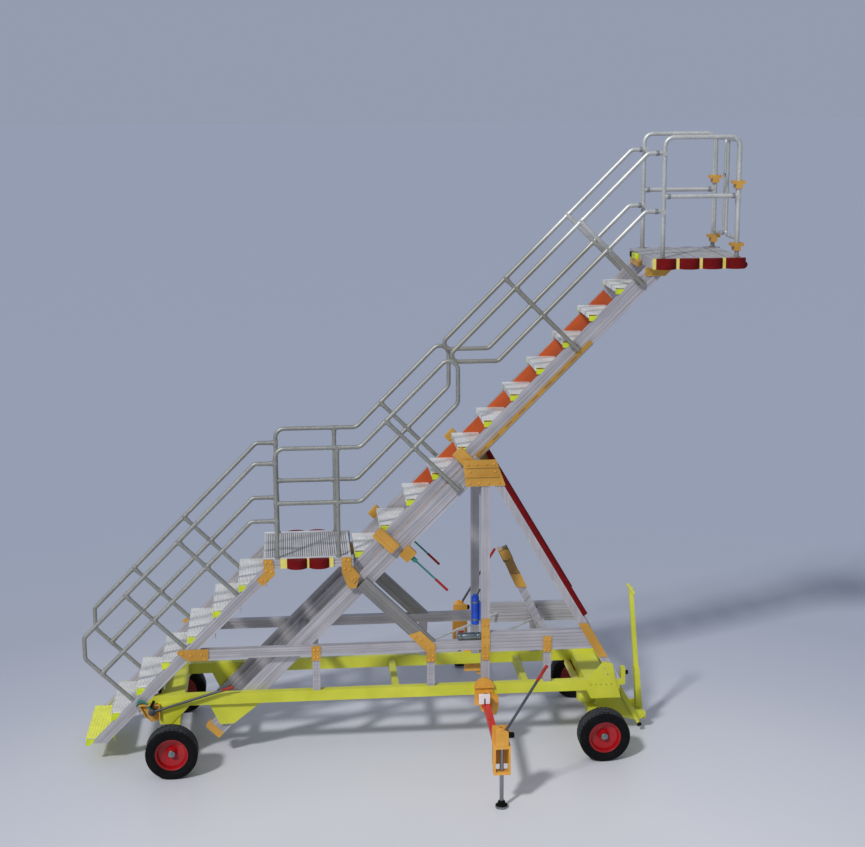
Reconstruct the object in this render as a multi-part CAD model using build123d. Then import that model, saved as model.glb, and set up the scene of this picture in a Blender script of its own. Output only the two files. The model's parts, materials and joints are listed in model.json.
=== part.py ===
from build123d import *
from math import atan2, cos, degrees, hypot, radians, sin, sqrt
import os

# Mobile aircraft access stairs: a wheeled chassis carries a lower flight, a landing and a
# 45 degree guide, and an upper flight with its platform slides up and down that guide.
# Millimetres, +Z up, +X from the foot of the stairs to the platform, Y across.
# Lengths along X are measured from the rear axle; save() moves all to mid-length.
# "Rise over the line" is z - x: the faces of everything that lies along the slope are given by it.

# Wheels and axles
wheelbase = 4020
wheel_diameter = 480
tyre_width = 175
track = 1610
rim_diameter = 300
rim_wall = 14
tread_shoulder = 30
hub_diameter = 70
hub_face = 45
nut_thickness = 16
axle_diameter = 40
bore_clearance = 1
wheel_gap = 6
casing_size = 80
steer_post_radius = 115
ring_depth = 45
drawbar_reach = 510
drawbar_pivot_z = 150
drawbar_height = 1265
drawbar_lean = 105
drawbar_pin = 16

# Chassis
side_outer = 455
beam_width = 70
beam_height = 105
beam_top = 650
beam_overhang = 220
cross_beam_width = 60
cross_beams_x = [2100, 3340]
bolster_length = 220
plate = 10
leg_width = 150

# Side frame: aluminium sections in one plane each side
frame_width = 70
groove_width = 8
groove_depth = 4
guide_foot = 345
guide_overhang = 30
guide_depth = 106
guide_width = 95
guide_web = 35
slide_gap = 0.3
post_x = 2945
post_width = 80
post_head = 200
head_drop = 115
rail_top = 1085
rail_height = 90
tall_rail_top = 1160
tall_rail_height = 190
diagonal_head_x = 3065
diagonal_slope = 0.586
diagonal_width = 75
short_post_width = 70
brace_along = (1690, 1780)
short_posts_x = [1345, 2425]
front_short_post_x = 3535
bumper_depth = 50
bumper_run = (-190, 1540)
strut_size = 75
strut_lean = 0.47
strut_height = 730
strut_set_back = 27
collar_rises = [(345, 480), (625, 730)]
gusset_drop = 140

# Lower flight and landing
landing_height = 1950
landing_start = 880
landing_end = 1690
edge_width = 60
edge_height = 95
deck_thickness = 30
plank_pitch = 100
lower_risers = 8
nose_to_top = 100
lower_stringer_depth = 141
lower_foot = 205
tread_depth = 265
tread_thickness = 42
tread_skin = 10
tread_web = 7
rib_pitch = 25
rib_gap = 9
rib_depth = 3
cap_reach = (5, 80)
cap_drop = 20

# Sliding flight and platform
slide_riser = 243.4
slide_treads = 11
slide_start = (35, 15)
slide_outer = 335
slide_stringer_width = 45
slide_stringer_depth = 220
panel_thickness = 4
panel_along = (2350, 4230)
rack_along = (1900, 3920)
rack_height = 60
rack_edge = 18
rack_thickness = 8
clamp_run = 360
lock_run = 395
lock_boss = 190
lock_rod = 650
platform_step = (289, 276)
platform_length = 852
platform_depth = 90
platform_end_width = 50
nose_reach = 50
pad_width = 185
pad_edge = 14
pad_bulge = 60
landing_pad_inset = 215
landing_pad_gap = 20
platform_pad_inset = 50
platform_pad_gap = 30

# Handrails
tube_radius = 20
sleeve_wall = 3
sleeve_length = 70
flange_radius = 30
bend_radius = 85
small_bend = 60
fixed_rail_y = 435
slide_rail_y = 358
platform_rail_y = 432
lower_rail_rise = (460, 960)
lower_rail_top = 900
lower_rail_middle = 355
lower_posts = (415, 915)
landing_rail_top = 1035
landing_rail_middle = 520
landing_post_x = 1009
landing_middle_post_x = 1575
landing_rail_end = 2691
slide_rail_rise = (435, 945)
slide_rail_drop = 1868
slide_posts = (625.5, 33)
guard_height = 1082
guard_middle = 555
guard_joints = (415, 938)
guard_post_inset = (115, 50)
gate_stile_radius = 16
gate_tube_radius = 15
gate_hinge_y = 388
gate_gap = 25
gate_rise = (165, 1045)
clamp_rises = [128, 690]
clamp_plate = 28
clamp_boss = 42

# Outriggers
outrigger_x = 2930
pivot_y = 600
pivot_z = 520
pin_radius = 15
arm_size = 60
arm_drop = 90
jack_y = 1760
jack_z = (320, 735)
jack_half_width = 75
jack_wall = 18
jack_lever = (384, 574)
lever_radius = 11
screw_radius = 18
foot_radius = 55

# Parking brake by the near rear wheel
brake_x = -195
brake_z = 510
brake_lever = (755, 218)

lower_rise = landing_height / lower_risers
lower_nose_x = landing_start - (lower_risers - 1) * lower_rise
lower_nose_rise = landing_height - landing_start
lower_stringer_rise = (lower_nose_rise - nose_to_top - lower_stringer_depth, lower_nose_rise - nose_to_top)
slide_nose = (landing_end + slide_start[0], landing_height + slide_start[1])
slide_nose_rise = slide_nose[1] - slide_nose[0]
slide_top = slide_nose_rise - nose_to_top
slide_stringer_rise = (slide_top - slide_stringer_depth, slide_top)
flight_run = (slide_treads - 1) * slide_riser
platform_start = slide_nose[0] + flight_run + platform_step[0]
platform_end = platform_start + platform_length
platform_height = slide_nose[1] + flight_run + platform_step[1]
guard_posts_x = (platform_start + guard_post_inset[0], platform_end - guard_post_inset[1])
overall_front = platform_end + nose_reach
mid_x = (overall_front + lower_nose_x) / 2
wheel_radius = wheel_diameter / 2
beam_bottom = beam_top - beam_height
beam_front = wheelbase + beam_overhang
side_inner = side_outer - frame_width
axle_reach = track / 2 + hub_face + bore_clearance + nut_thickness
drawbar_x = wheelbase + drawbar_reach
root2 = sqrt(2)
guide_top = slide_stringer_rise[0] - slide_gap * root2
guide_rise = (guide_top - guide_depth * root2, guide_top)
guide_head = post_x + guide_rise[0] / 2 + guide_overhang
head_z = post_x + guide_rise[0] - head_drop
post_top = head_z + post_head
lock_along = landing_end + lock_run
guide_span = (-side_inner, guide_width - side_inner)
frame_span = (-side_outer, -side_inner)
beam_span = (-side_outer, beam_width - side_outer)
edge_span = (-side_outer, edge_width - side_outer)
plate_span = (-side_outer - plate, -side_outer)
edge_inner = side_outer - edge_width
landing_pads_x = [landing_start + landing_pad_inset + k * (pad_width + landing_pad_gap) for k in range(2)]
landing_pads_z = (landing_height - edge_height + 3, landing_height - 4)
platform_pads_x = [platform_start + platform_pad_inset + k * (pad_width + platform_pad_gap) for k in range(4)]
platform_pads_z = (platform_height - platform_depth - 10, platform_height - 4)


def save(name, shape):
    solids = (Pos(-mid_x, 0, 0) * shape).solids()
    whole = solids[0] if len(solids) == 1 else Compound(children=list(solids))
    whole.label = name
    export_step(whole, f"parts/{name}.step")


def join(shapes):
    return Part() + shapes


def pair(shape):
    return join([shape, mirror(shape, about=Plane.XZ)])


def block(x_range, y_range, z_range):
    (x0, x1), (y0, y1), (z0, z1) = x_range, y_range, z_range
    return Pos((x0 + x1) / 2, (y0 + y1) / 2, (z0 + z1) / 2) * Box(x1 - x0, y1 - y0, z1 - z0)


def centred(middle, size):
    return (middle - size / 2, middle + size / 2)


def side_plate(points, y_range):
    outline = Plane.XZ * Polygon(*points, align=None)
    return Pos(0, y_range[0], 0) * extrude(outline, amount=y_range[1] - y_range[0], dir=(0, 1, 0))


def about(anchor, offsets):
    return [(anchor[0] + dx, anchor[1] + dz) for dx, dz in offsets]


def on_slope(along, rise):
    return (along - rise / 2, along + rise / 2)


def slope_bar(along, rise, y_range):
    (s0, s1), (low, high) = along, rise
    corners = [on_slope(s0, low), on_slope(s1, low), on_slope(s1, high), on_slope(s0, high)]
    return side_plate(corners, y_range)


def grooved(solid, start, end, depth, count, y_faces=frame_span):
    # Long grooves along the line from start to end, spread evenly over the depth of a section.
    (x0, z0), (x1, z1) = start, end
    run = hypot(x1 - x0, z1 - z0)
    place = Pos((x0 + x1) / 2, 0, (z0 + z1) / 2) * Rot(0, -degrees(atan2(z1 - z0, x1 - x0)), 0)
    cuts = [place * Pos(0, y, depth * ((k + 1) / (count + 1) - 0.5))
            * Box(2 * run, 2 * groove_depth, groove_width) for k in range(count) for y in y_faces]
    return solid - cuts


def grooved_slope(along, rise, y_range, count):
    # A section on the slope, with its grooves in both side faces.
    (s0, s1), middle = along, sum(rise) / 2
    bar = slope_bar(along, rise, y_range)
    return grooved(bar, on_slope(s0, middle), on_slope(s1, middle), (rise[1] - rise[0]) / root2, count,
                   y_range)


def grooved_post(x, width, y_range, z_range, count=2):
    post = block(centred(x, width), y_range, z_range)
    return grooved(post, (x, z_range[0]), (x, z_range[1]), width, count, y_range)


def tube(points, radius, bend=None):
    path = FilletPolyline(*points, radius=bend) if bend else Line(*points)
    return sweep(Plane(origin=path @ 0, z_dir=path % 0) * Circle(radius), path=path)


def rail(points, y, bend, radius=tube_radius):
    return tube([(x, y, z) for x, z in points], radius, bend)


def sleeve(point, y, angle, shift=0):
    # A coupling round a tube that runs at this angle above the X axis.
    x, z = point
    dx, dz = cos(radians(angle)) * shift, sin(radians(angle)) * shift
    return Pos(x + dx, y, z + dz) * Rot(0, 90 - angle, 0) * Cylinder(tube_radius + sleeve_wall, sleeve_length)


def tee(point, y, run_angle, branch_angle):
    return [sleeve(point, y, run_angle), sleeve(point, y, branch_angle, tube_radius)]


def crossing(point, y, run_angle):
    return [sleeve(point, y, run_angle), sleeve(point, y, run_angle + 90)]


def flange(x, y, z):
    return upright(x, y, (z, z + plate), flange_radius)


def cross_pin(x, y, z, radius, length):
    return Pos(x, y, z) * Rot(90, 0, 0) * Cylinder(radius, length)


def upright(x, y, z_range, radius):
    return Pos(x, y, sum(z_range) / 2) * Cylinder(radius, z_range[1] - z_range[0])


def wheel(x, side):
    place = Pos(x, side * track / 2, wheel_radius) * Rot(-90 * side, 0, 0)
    half = tyre_width / 2
    rim_r = rim_diameter / 2
    bore = axle_diameter / 2 + bore_clearance
    hub = hub_diameter / 2
    lip = half - 12
    tyre_section = [(rim_r, -half), (wheel_radius - tread_shoulder, -half),
                    (wheel_radius, tread_shoulder - half), (wheel_radius, half - tread_shoulder),
                    (wheel_radius - tread_shoulder, half), (rim_r, half)]
    rim_section = [(rim_r, -lip), (rim_r, lip), (rim_r - rim_wall, lip), (rim_r - 2 * rim_wall, lip - 40),
                   (hub + 14, 12), (hub, hub_face), (bore, hub_face),
                   (bore, 8 - half), (hub, 8 - half), (hub, -8), (rim_r - rim_wall, -8),
                   (rim_r - rim_wall, -lip)]
    return [place * revolve(Plane.XZ * Polygon(*section, align=None), Axis.Z)
            for section in (tyre_section, rim_section)]


def axle(x):
    seat = track / 2 - tyre_width / 2 - wheel_gap
    casing = block(centred(x, casing_size), (-seat, seat), centred(wheel_radius, casing_size))
    shaft = cross_pin(x, 0, wheel_radius, axle_diameter / 2, 2 * axle_reach)
    nuts = [cross_pin(x, side * (axle_reach - nut_thickness / 2), wheel_radius, 28, nut_thickness)
            for side in (-1, 1)]
    return [casing, shaft] + nuts


def chassis_frame():
    under_stringer = lower_stringer_rise[0]
    beam = side_plate([(beam_top - under_stringer, beam_top), (beam_bottom - under_stringer, beam_bottom),
                       (beam_front, beam_bottom), (beam_front, beam_top)], beam_span)
    inner = side_outer - beam_width
    ties = [block(centred(x, cross_beam_width), (-inner, inner), (beam_bottom + 15, beam_top - 15))
            for x in cross_beams_x]
    bolsters = [block(centred(x, bolster_length), (-inner, inner), (beam_bottom, beam_top))
                for x in (0, wheelbase)]
    ring = upright(wheelbase, 0, (beam_bottom - ring_depth, beam_bottom), steer_post_radius + 25)
    hanger = side_plate([(330, beam_bottom), (830, beam_bottom), (560, beam_bottom - 210),
                         (430, beam_bottom - 215)], (-side_inner - 30, -side_inner))
    seat = block((beam_front, beam_front + 12), beam_span, (beam_top - 60, beam_top))
    valve_box = block((beam_front + 12, beam_front + 52), beam_span, (beam_top - 60, beam_top + 110))
    return join([pair(join([beam, hanger]))] + ties + bolsters + [ring, seat, valve_box])


def rear_axle():
    top, foot = leg_width / 2, leg_width * 0.3
    leg = side_plate([(-top, beam_bottom), (top, beam_bottom), (foot, wheel_radius), (-foot, wheel_radius)],
                     beam_span)
    return join(axle(0) + [pair(leg)])


def front_axle():
    top = wheel_radius + casing_size / 2
    post = upright(wheelbase, 0, (top, beam_bottom - ring_depth - slide_gap), steer_post_radius)
    reach = wheelbase + casing_size / 2
    x1, z1 = drawbar_x, drawbar_pivot_z
    fork = side_plate([(reach, wheel_radius - 30), (reach, wheel_radius + 35),
                       (reach + 40, wheel_radius + 35), (x1 + 35, z1 + 35), (x1 + 35, z1 - 35),
                       (x1 - 35, z1 - 35)], (-160, -130))
    fork -= cross_pin(x1, -145, z1, drawbar_pin + bore_clearance, 60)
    return join(axle(wheelbase) + [post, pair(fork)])


def drawbar():
    x0, z0 = drawbar_x, drawbar_pivot_z
    x1, z1 = x0 - drawbar_lean, z0 + drawbar_height
    knee = drawbar_height * 0.36
    knee_x = x0 - drawbar_lean * 0.36
    shank = side_plate([(x0 - 25, z0), (x0 + 25, z0), (x1 + 20, z1), (x1 - 20, z1)], (-20, 20))
    boss = cross_pin(x0, 0, z0, 34, 256)
    pin = cross_pin(x0, 0, z0, drawbar_pin, 360)
    grip = cross_pin(x1, 0, z1 - drawbar_pin, drawbar_pin, 260)
    cheek = side_plate([(x0 - 30, z0), (x0 + 30, z0), (knee_x + 24, z0 + knee), (knee_x - 24, z0 + knee)],
                       (-50, 50))
    return join([shank, boss, pin, grip, cheek])


def front_gussets():
    # Perforated steering plates on the outer faces of the beams.
    x, z = wheelbase, beam_top
    top = tall_rail_top - tall_rail_height - gusset_drop - z
    outline = about((x, z), [(-105, -90), (-105, 0), (55, top), (145, top - 20), (180, -10), (230, -185),
                             (-60, -185)])
    holes = about((x, z), [(dx, -50) for dx in range(-60, 160, 50)] + [(70, top - 70), (100, top - 130)])
    sheet = side_plate(outline, plate_span)
    return pair(sheet - [cross_pin(hx, -side_outer, hz, 9, 4 * plate) for hx, hz in holes])


def guide_beams():
    # An angle section: the sliding flight rests on the ledge, beside the upright web.
    along = (guide_foot, guide_head)
    ledge = grooved_slope(along, guide_rise, guide_span, 3)
    web = slope_bar(along, (guide_rise[1], 0), (-side_inner, guide_web - side_inner))
    inner = side_inner - guide_width
    low = (guide_rise[0], guide_rise[0] + 90)
    ties_along = [guide_foot + 75, guide_foot + 805, guide_head - 810, guide_head - 160]
    ties = [slope_bar(centred(s, 60), low, (-inner, inner)) for s in ties_along]
    return join([pair(join([ledge, web]))] + ties)


def diagonal_left(z):
    slant = hypot(1, diagonal_slope)
    return diagonal_head_x + (head_z - z) * diagonal_slope - diagonal_width / 2 * slant


def tower_frame():
    post = grooved_post(post_x, post_width, frame_span, (beam_top, post_top))
    tie = block(centred(post_x, post_width), (-side_inner, side_inner), (head_z - 130, head_z - 50))
    width = diagonal_width * hypot(1, diagonal_slope)
    top, foot = diagonal_left(head_z), diagonal_left(beam_top)
    diagonal = side_plate([(top, head_z), (foot, beam_top), (foot + width, beam_top),
                           (top + width, head_z)], frame_span)
    diagonal = grooved(diagonal, (top + width / 2, head_z), (foot + width / 2, beam_top), diagonal_width, 2)
    return join([pair(join([post, diagonal])), tie])


def level_rails():
    low = rail_top - rail_height
    under = lower_stringer_rise[0]
    post_face = post_x - post_width / 2
    middle = rail_top - rail_height / 2
    rear = side_plate([(rail_top - under, rail_top), (low - under, low), (post_face, low),
                       (post_face, rail_top)], frame_span)
    rear = grooved(rear, (middle - under, middle), (post_face, middle), rail_height, 3)
    tall_low = tall_rail_top - tall_rail_height
    tall_middle = tall_rail_top - tall_rail_height / 2
    start = post_x + post_width / 2
    front = side_plate([(start, tall_rail_top), (start, tall_low), (diagonal_left(tall_low), tall_low),
                        (diagonal_left(tall_rail_top), tall_rail_top)], frame_span)
    front = grooved(front, (start, tall_middle), (diagonal_left(tall_middle), tall_middle),
                    tall_rail_height, 5)
    posts = [grooved_post(x, short_post_width, frame_span, (beam_top, low)) for x in short_posts_x]
    posts.append(grooved_post(front_short_post_x, short_post_width, frame_span, (beam_top, tall_low)))
    return pair(join([rear, front] + posts))


def guide_braces():
    # They run down from the underside of the guides to the level rails.
    (s0, s1), head = brace_along, guide_rise[1] - 20
    top0, top1 = on_slope(s0, head), on_slope(s1, head)
    foot0, foot1 = (2 * s0 - rail_top, rail_top), (2 * s1 - rail_top, rail_top)
    brace = side_plate([top0, foot0, foot1, top1], frame_span)
    middle = (s0 + s1) / 2
    return pair(grooved(brace, on_slope(middle, head), (2 * middle - rail_top, rail_top),
                        (s1 - s0) * root2 / 2, 2))


def strut_point(rise):
    # On the strut's axis, this high over the tie that carries it.
    return (front_short_post_x - strut_set_back - strut_lean * rise, tall_rail_top - 40 + rise)


def strut_piece(low, high, width):
    (x0, z0), (x1, z1) = strut_point(low), strut_point(high)
    half = width / 2 * hypot(1, strut_lean)
    return [(x0 - half, z0), (x0 + half, z0), (x1 + half, z1), (x1 - half, z1)]


def lift_strut():
    # A leaning strut in the mid plane, clamped to the tie between the front short posts.
    low, top = tall_rail_top - 120, tall_rail_top - 40
    tie = block(centred(front_short_post_x, strut_size), (-side_inner, side_inner), (low, top))
    span = centred(0, strut_size)
    bar = side_plate(strut_piece(low - top, strut_height, strut_size), span)
    bar = grooved(bar, strut_point(low - top), strut_point(strut_height), strut_size, 2, span)
    return join([bar, tie])


def strut_collars():
    # Clamped round the strut at half height and at its head.
    width = strut_size + 2 * plate
    collars = [side_plate(strut_piece(low, high, width), centred(0, width)) for low, high in collar_rises]
    return join(collars) - lift_strut()


def lower_stringers():
    low, high = lower_stringer_rise
    points = [(lower_foot - high, lower_foot), (lower_foot - low, lower_foot),
              (landing_start, landing_start + low), (landing_start, landing_start + high)]
    middle = (low + high) / 2
    stringer = side_plate(points, edge_span)
    return pair(grooved(stringer, (lower_foot - middle, lower_foot), (landing_start, landing_start + middle),
                        lower_stringer_depth / root2, 3, edge_span))


def tread(x, z, half_width):
    # An extruded plank along Y: ribbed on top, open channels between the webs below.
    d, t = tread_depth, tread_thickness
    section = Pos(d / 2, -t / 2) * Rectangle(d, t)
    channel = (d - 4 * tread_web) / 3
    depth = t - tread_skin
    for k in range(3):
        middle = tread_web + channel / 2 + k * (channel + tread_web)
        section -= Pos(middle, -tread_skin - depth / 2) * Rectangle(channel, depth)
    ribs = int(d // rib_pitch)
    for k in range(ribs):
        section -= Pos((k + 0.5) * d / ribs, 0) * Rectangle(rib_gap, 2 * rib_depth)
    return Pos(x, 0, z) * extrude(Plane.XZ * section, amount=half_width, both=True)


def lower_treads():
    return join([tread(lower_nose_x + k * lower_rise, (k + 1) * lower_rise, edge_inner)
                 for k in range(1, lower_risers - 1)])


def bottom_step():
    return tread(lower_nose_x, lower_rise, edge_inner)


def tread_cap(x, z, y_range):
    # A coloured block in the corner of the tread's end and the stringer's sloping top.
    near, far = cap_reach
    tall = (far - near) * 0.56
    top = z - cap_drop
    slope_x = x + nose_to_top - cap_drop
    return side_plate([(x + near, top - tall), (x + near, top), (slope_x, top),
                       (slope_x - tall, top - tall)], y_range)


def lower_tread_caps():
    return pair(join([tread_cap(lower_nose_x + k * lower_rise, (k + 1) * lower_rise, edge_span)
                      for k in range(lower_risers - 1)]))


def sliding_tread_caps():
    (x, z), r = slide_nose, slide_riser
    span = (-slide_outer, slide_stringer_width + panel_thickness - slide_outer)
    return pair(join([tread_cap(x + k * r, z + k * r, span) for k in range(slide_treads)]))


def landing_frame():
    z0, z1 = landing_height - edge_height, landing_height
    side = block((landing_start, landing_end + 20), edge_span, (z0, z1))
    middle = (z0 + z1) / 2
    side = grooved(side, (landing_start, middle), (landing_end, middle), edge_height, 2, edge_span)
    joists = [block((x, x + 50), (-edge_inner, edge_inner), (z0, z1 - deck_thickness))
              for x in (landing_start, landing_end - 190)]
    return join([pair(side)] + joists)


def planked(deck, x_range):
    # Open joints between the planks, which lie across the deck.
    x0, x1 = x_range
    count = int((x1 - x0) // plank_pitch)
    top = deck.bounding_box().max.Z
    joints = [block(centred(x0 + (k + 1) * (x1 - x0) / (count + 1), groove_width), (-side_outer, side_outer),
                    centred(top, 2 * groove_depth)) for k in range(count)]
    return deck - joints


def landing_deck():
    low = landing_height - deck_thickness
    points = [(landing_start, landing_height), (landing_start, low),
              (landing_end - deck_thickness, low), (landing_end, landing_height)]
    return planked(side_plate(points, (-edge_inner, edge_inner)), (landing_start, landing_end))


def bumper_pad(x, z_range):
    # Bowed outwards in plan between its two straight edges.
    y = -side_outer
    edge = y - pad_edge
    corners = [(x, edge), (x, y), (x + pad_width, y), (x + pad_width, edge)]
    bow = ThreePointArc((x, edge), (x + pad_width / 2, edge - pad_bulge), (x + pad_width, edge))
    face = make_face([Polyline(*corners), bow])
    return Pos(0, 0, z_range[0]) * extrude(face, amount=z_range[1] - z_range[0], dir=(0, 0, 1))


def landing_bumpers():
    return pair(join([bumper_pad(x, landing_pads_z) for x in landing_pads_x]))


def spacers(gaps, z_range):
    return pair(join([block(gap, (-side_outer - pad_edge, -side_outer), z_range) for gap in gaps]))


def landing_spacers():
    first, last = landing_pads_x
    gaps = [(first - 60, first), (first + pad_width, last), (last + pad_width, last + pad_width + 40)]
    return spacers(gaps, landing_pads_z)


def platform_spacers():
    gaps = [(x - platform_pad_gap, x) for x in platform_pads_x]
    return spacers(gaps, platform_pads_z)


def platform_bumpers():
    z0, z1 = platform_pads_z
    pads = [bumper_pad(x, (z0, z1)) for x in platform_pads_x]
    radius = nose_reach * 0.6
    centre = overall_front - radius
    roll = cross_pin(centre, 0, z0 + radius, radius, 2 * side_outer)
    behind = block((centre - 2 * radius, platform_end), (-side_outer, side_outer), (z0 - radius, z1))
    return join([pair(join(pads)), roll - behind])


def between(z_range, x_ranges):
    # A four-sided plate: its width at the foot and its width at the head.
    (z0, z1), ((x0, x1), (x2, x3)) = z_range, x_ranges
    return [(x0, z0), (x1, z0), (x3, z1), (x2, z1)]


def cheek_joints():
    rail_low, tall_low = rail_top - rail_height, tall_rail_top - tall_rail_height
    post0, post1 = centred(post_x, post_width)
    short0, short1 = centred(front_short_post_x, post_width)
    deck_low = landing_height - edge_height
    landing_foot = (landing_start, landing_height - 5)
    landing_head = (landing_end, landing_height - 5)
    corner_low, corner_high = tall_low - 90, tall_rail_top + 60
    corner0, corner1 = diagonal_left(corner_low) - 3, diagonal_left(corner_high) - 3
    outlines = [
        about((guide_foot, rail_top), [(-265, 10), (0, 10), (0, -100), (-195, -100), (-295, -20)]),
        between((rail_low - 50, rail_top + 5), [centred(short_posts_x[0], 85)] * 2),
        about((short_posts_x[1], rail_low), [(-210, 170), (-95, 205), (45, 65), (45, -105), (-40, -105),
                                             (-40, -5)]),
        between((tall_low - 80, tall_rail_top + 140), [(post0, post1)] * 2),
        between((tall_low - 20, tall_rail_top - 55), [(short0, short1)] * 2),
        between((corner_low, corner_high), [(corner0, corner0 + 93), (corner1, corner1 + 93)]),
        about((post_x, head_z), [(-215, 240), (95, 240), (185, -10), (-185, -10)]),
        about(landing_foot, [(-2, 0), (82, 0), (105, -145), (-10, -255), (-68, -200), (-2, -125)]),
        about(landing_head, [(-90, 0), (0, 0), (0, -95), (80, -185), (20, -255), (-90, -145)]),
    ]
    sheets = [side_plate(points, plate_span) for points in outlines]
    rib_span = (-side_outer - 2 * plate, -side_outer - plate)
    ribs = [block((post_x - 190, post_x + 120), rib_span, centred(head_z + rise, 14)) for rise in (85, 175)]
    # The elbow under the front of the landing reaches inwards to the outer face of the guide.
    elbow = side_plate(about((landing_end, deck_low), [(-90, 0), (10, 0), (80, -95), (40, -215), (-30, -215),
                                                       (-90, -55)]), frame_span)
    return pair(join(sheets + ribs + [elbow]))


def slide_clamps():
    outer, inner = frame_span
    strap_rise = (guide_rise[1] - 25, slide_stringer_rise[1] + 95)
    straps = []
    for s in (landing_end + clamp_run, guide_head - 60):
        body = slope_bar(centred(s, 80), strap_rise, (outer + 15, inner))
        ridges = [slope_bar(centred(s + shift, 14), strap_rise, (outer + 5, outer + 15))
                  for shift in (-24, 24)]
        straps += [body] + ridges
    lock = slope_bar(centred(lock_along, 90), (guide_rise[0] - 110, guide_rise[0] + 30), frame_span)
    stop = slope_bar((guide_foot - 50, guide_foot), (guide_rise[0], 0), guide_span)
    return pair(join(straps + [lock, stop]))


def lock_levers():
    y, start = -side_outer + 35, on_slope(lock_along, guide_rise[0] - 110)
    boss = rail([start, on_slope(lock_along, guide_rise[0] - lock_boss)], y, None, 22)
    rod = rail([start, on_slope(lock_along, guide_rise[0] - lock_rod)], y, None, 9)
    return pair(join([boss, rod]))


def bumper_bars():
    # A rubber bar with a rounded face along the front of each diagonal.
    slant = hypot(1, diagonal_slope)
    ux, uz = diagonal_slope / slant, -1 / slant
    face, (start, end) = diagonal_width / 2, bumper_run
    corners = [(start, face), (start, face + bumper_depth), (end, face + bumper_depth), (end, face)]
    points = [(diagonal_head_x + ux * a - uz * b, head_z + uz * a + ux * b) for a, b in corners]
    bar = side_plate(points, frame_span)
    long_edges = bar.edges().filter_by(lambda e: abs(abs((e % 0.5).X) - ux) < 0.01)
    front = long_edges.sort_by(lambda e: e.center().X * -uz + e.center().Z * ux)[-2:]
    return pair(fillet(front, 18))


def hand_pump():
    bottle = upright(post_x - 87, -side_inner + 30, (tall_rail_top + 60, tall_rail_top + 330), 38)
    cap = upright(post_x - 87, -side_inner + 30, (tall_rail_top + 330, tall_rail_top + 350), 24)
    bracket = block((post_x - 55, post_x - post_width / 2), (-side_inner, -side_inner + 60),
                    (tall_rail_top + 100, tall_rail_top + 280))
    return join([bottle, cap, bracket - bottle])


def sliding_stringers():
    s0 = sum(slide_nose) / 2 - 60
    low, high = slide_stringer_rise
    under = platform_height - platform_depth
    middle = (low + high) / 2
    span = (-slide_outer, slide_stringer_width - slide_outer)
    stringer = side_plate([on_slope(s0, high), on_slope(s0, low), (under - low, under),
                           (under - high, under)], span)
    return pair(grooved(stringer, on_slope(s0, middle), (under - middle, under),
                        slide_stringer_depth / root2, 4, span))


def rack_strips():
    # A strip with a row of slots for the locks.
    low = slide_stringer_rise[0] + rack_edge
    rise = (low, low + rack_height)
    span = (-slide_outer - rack_thickness, -slide_outer)
    strip = slope_bar(rack_along, rise, span)
    pitch = 120
    count = int((rack_along[1] - rack_along[0]) // pitch)
    slots = [slope_bar(centred(rack_along[0] + (k + 0.5) * pitch, 55), (low + 22, low + 38), span)
             for k in range(count)]
    return pair(strip - slots)


def cheek_panels():
    inner = slide_stringer_width - slide_outer
    return pair(slope_bar(panel_along, (slide_stringer_rise[0] + 10, slide_stringer_rise[1] - 10),
                          (inner, inner + panel_thickness)))


def sliding_treads():
    half = slide_outer - slide_stringer_width - panel_thickness
    (x, z), r = slide_nose, slide_riser
    return join([tread(x + k * r, z + k * r, half) for k in range(slide_treads)])


def platform_bay(z_range):
    ends = (platform_start + platform_end_width, platform_end - platform_end_width)
    return block(ends, (-edge_inner, edge_inner), z_range)


def platform_frame():
    span = (platform_height - platform_depth, platform_height)
    return block((platform_start, platform_end), (-side_outer, side_outer), span) - platform_bay(span)


def platform_deck():
    bay = platform_bay((platform_height - deck_thickness, platform_height))
    return planked(bay, (platform_start + platform_end_width, platform_end - platform_end_width))


def platform_brackets():
    # Golden gussets under the rear corners and the brackets that hold the platform to the flight.
    under = platform_height - platform_depth
    back = slide_stringer_rise[1]
    gusset = side_plate([(under - back - 15, under), (under - slide_stringer_rise[0], under),
                         (under - slide_stringer_rise[0] - 75, under - 75), (under - back - 15, under - 75)],
                        (-slide_outer - plate, -slide_outer))
    x0, x1 = platform_start - 108, platform_start
    foot = side_plate([(x0, x0 + back), (x1, x1 + back), (x1, platform_height), (x0, platform_height)],
                      (-slide_outer, slide_stringer_width - slide_outer))
    return pair(join([gusset, foot]))


def post_across(along, low, high, y):
    return rail([on_slope(along, low), on_slope(along, high)], y, None)


def fixed_handrail():
    # The rails of the lower flight: they end in the branches of the landing's first post.
    y, foot = -fixed_rail_y, lower_stringer_rise[1]
    middle_rise, top_rise = (lower_nose_rise + rise for rise in lower_rail_rise)
    top_z, middle_z = landing_height + lower_rail_top, landing_height + lower_rail_middle
    socket = landing_post_x - tube_radius - sleeve_length / 2
    foot_along = lower_foot - 83.5
    foot_x = lower_nose_x + 36
    start = on_slope(foot_along, middle_rise)
    loop = rail([on_slope(foot_along, foot), (foot_x, foot_x + 2 * (foot_along - foot_x)),
                 (foot_x, foot_x + top_rise), (top_z - top_rise, top_z), (socket, top_z)], y, small_bend)
    middle = rail([start, (middle_z - middle_rise, middle_z), (socket, middle_z)], y, small_bend)
    posts_along = [lower_foot + along for along in lower_posts]
    posts = [post_across(along, foot, top_rise, y) for along in posts_along]
    fittings = tee(start, y, 135, 45)
    for along in posts_along:
        fittings += tee(on_slope(along, top_rise), y, 45, -45) + crossing(on_slope(along, middle_rise), y, 45)
    return join([loop, middle] + posts + fittings)


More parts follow.
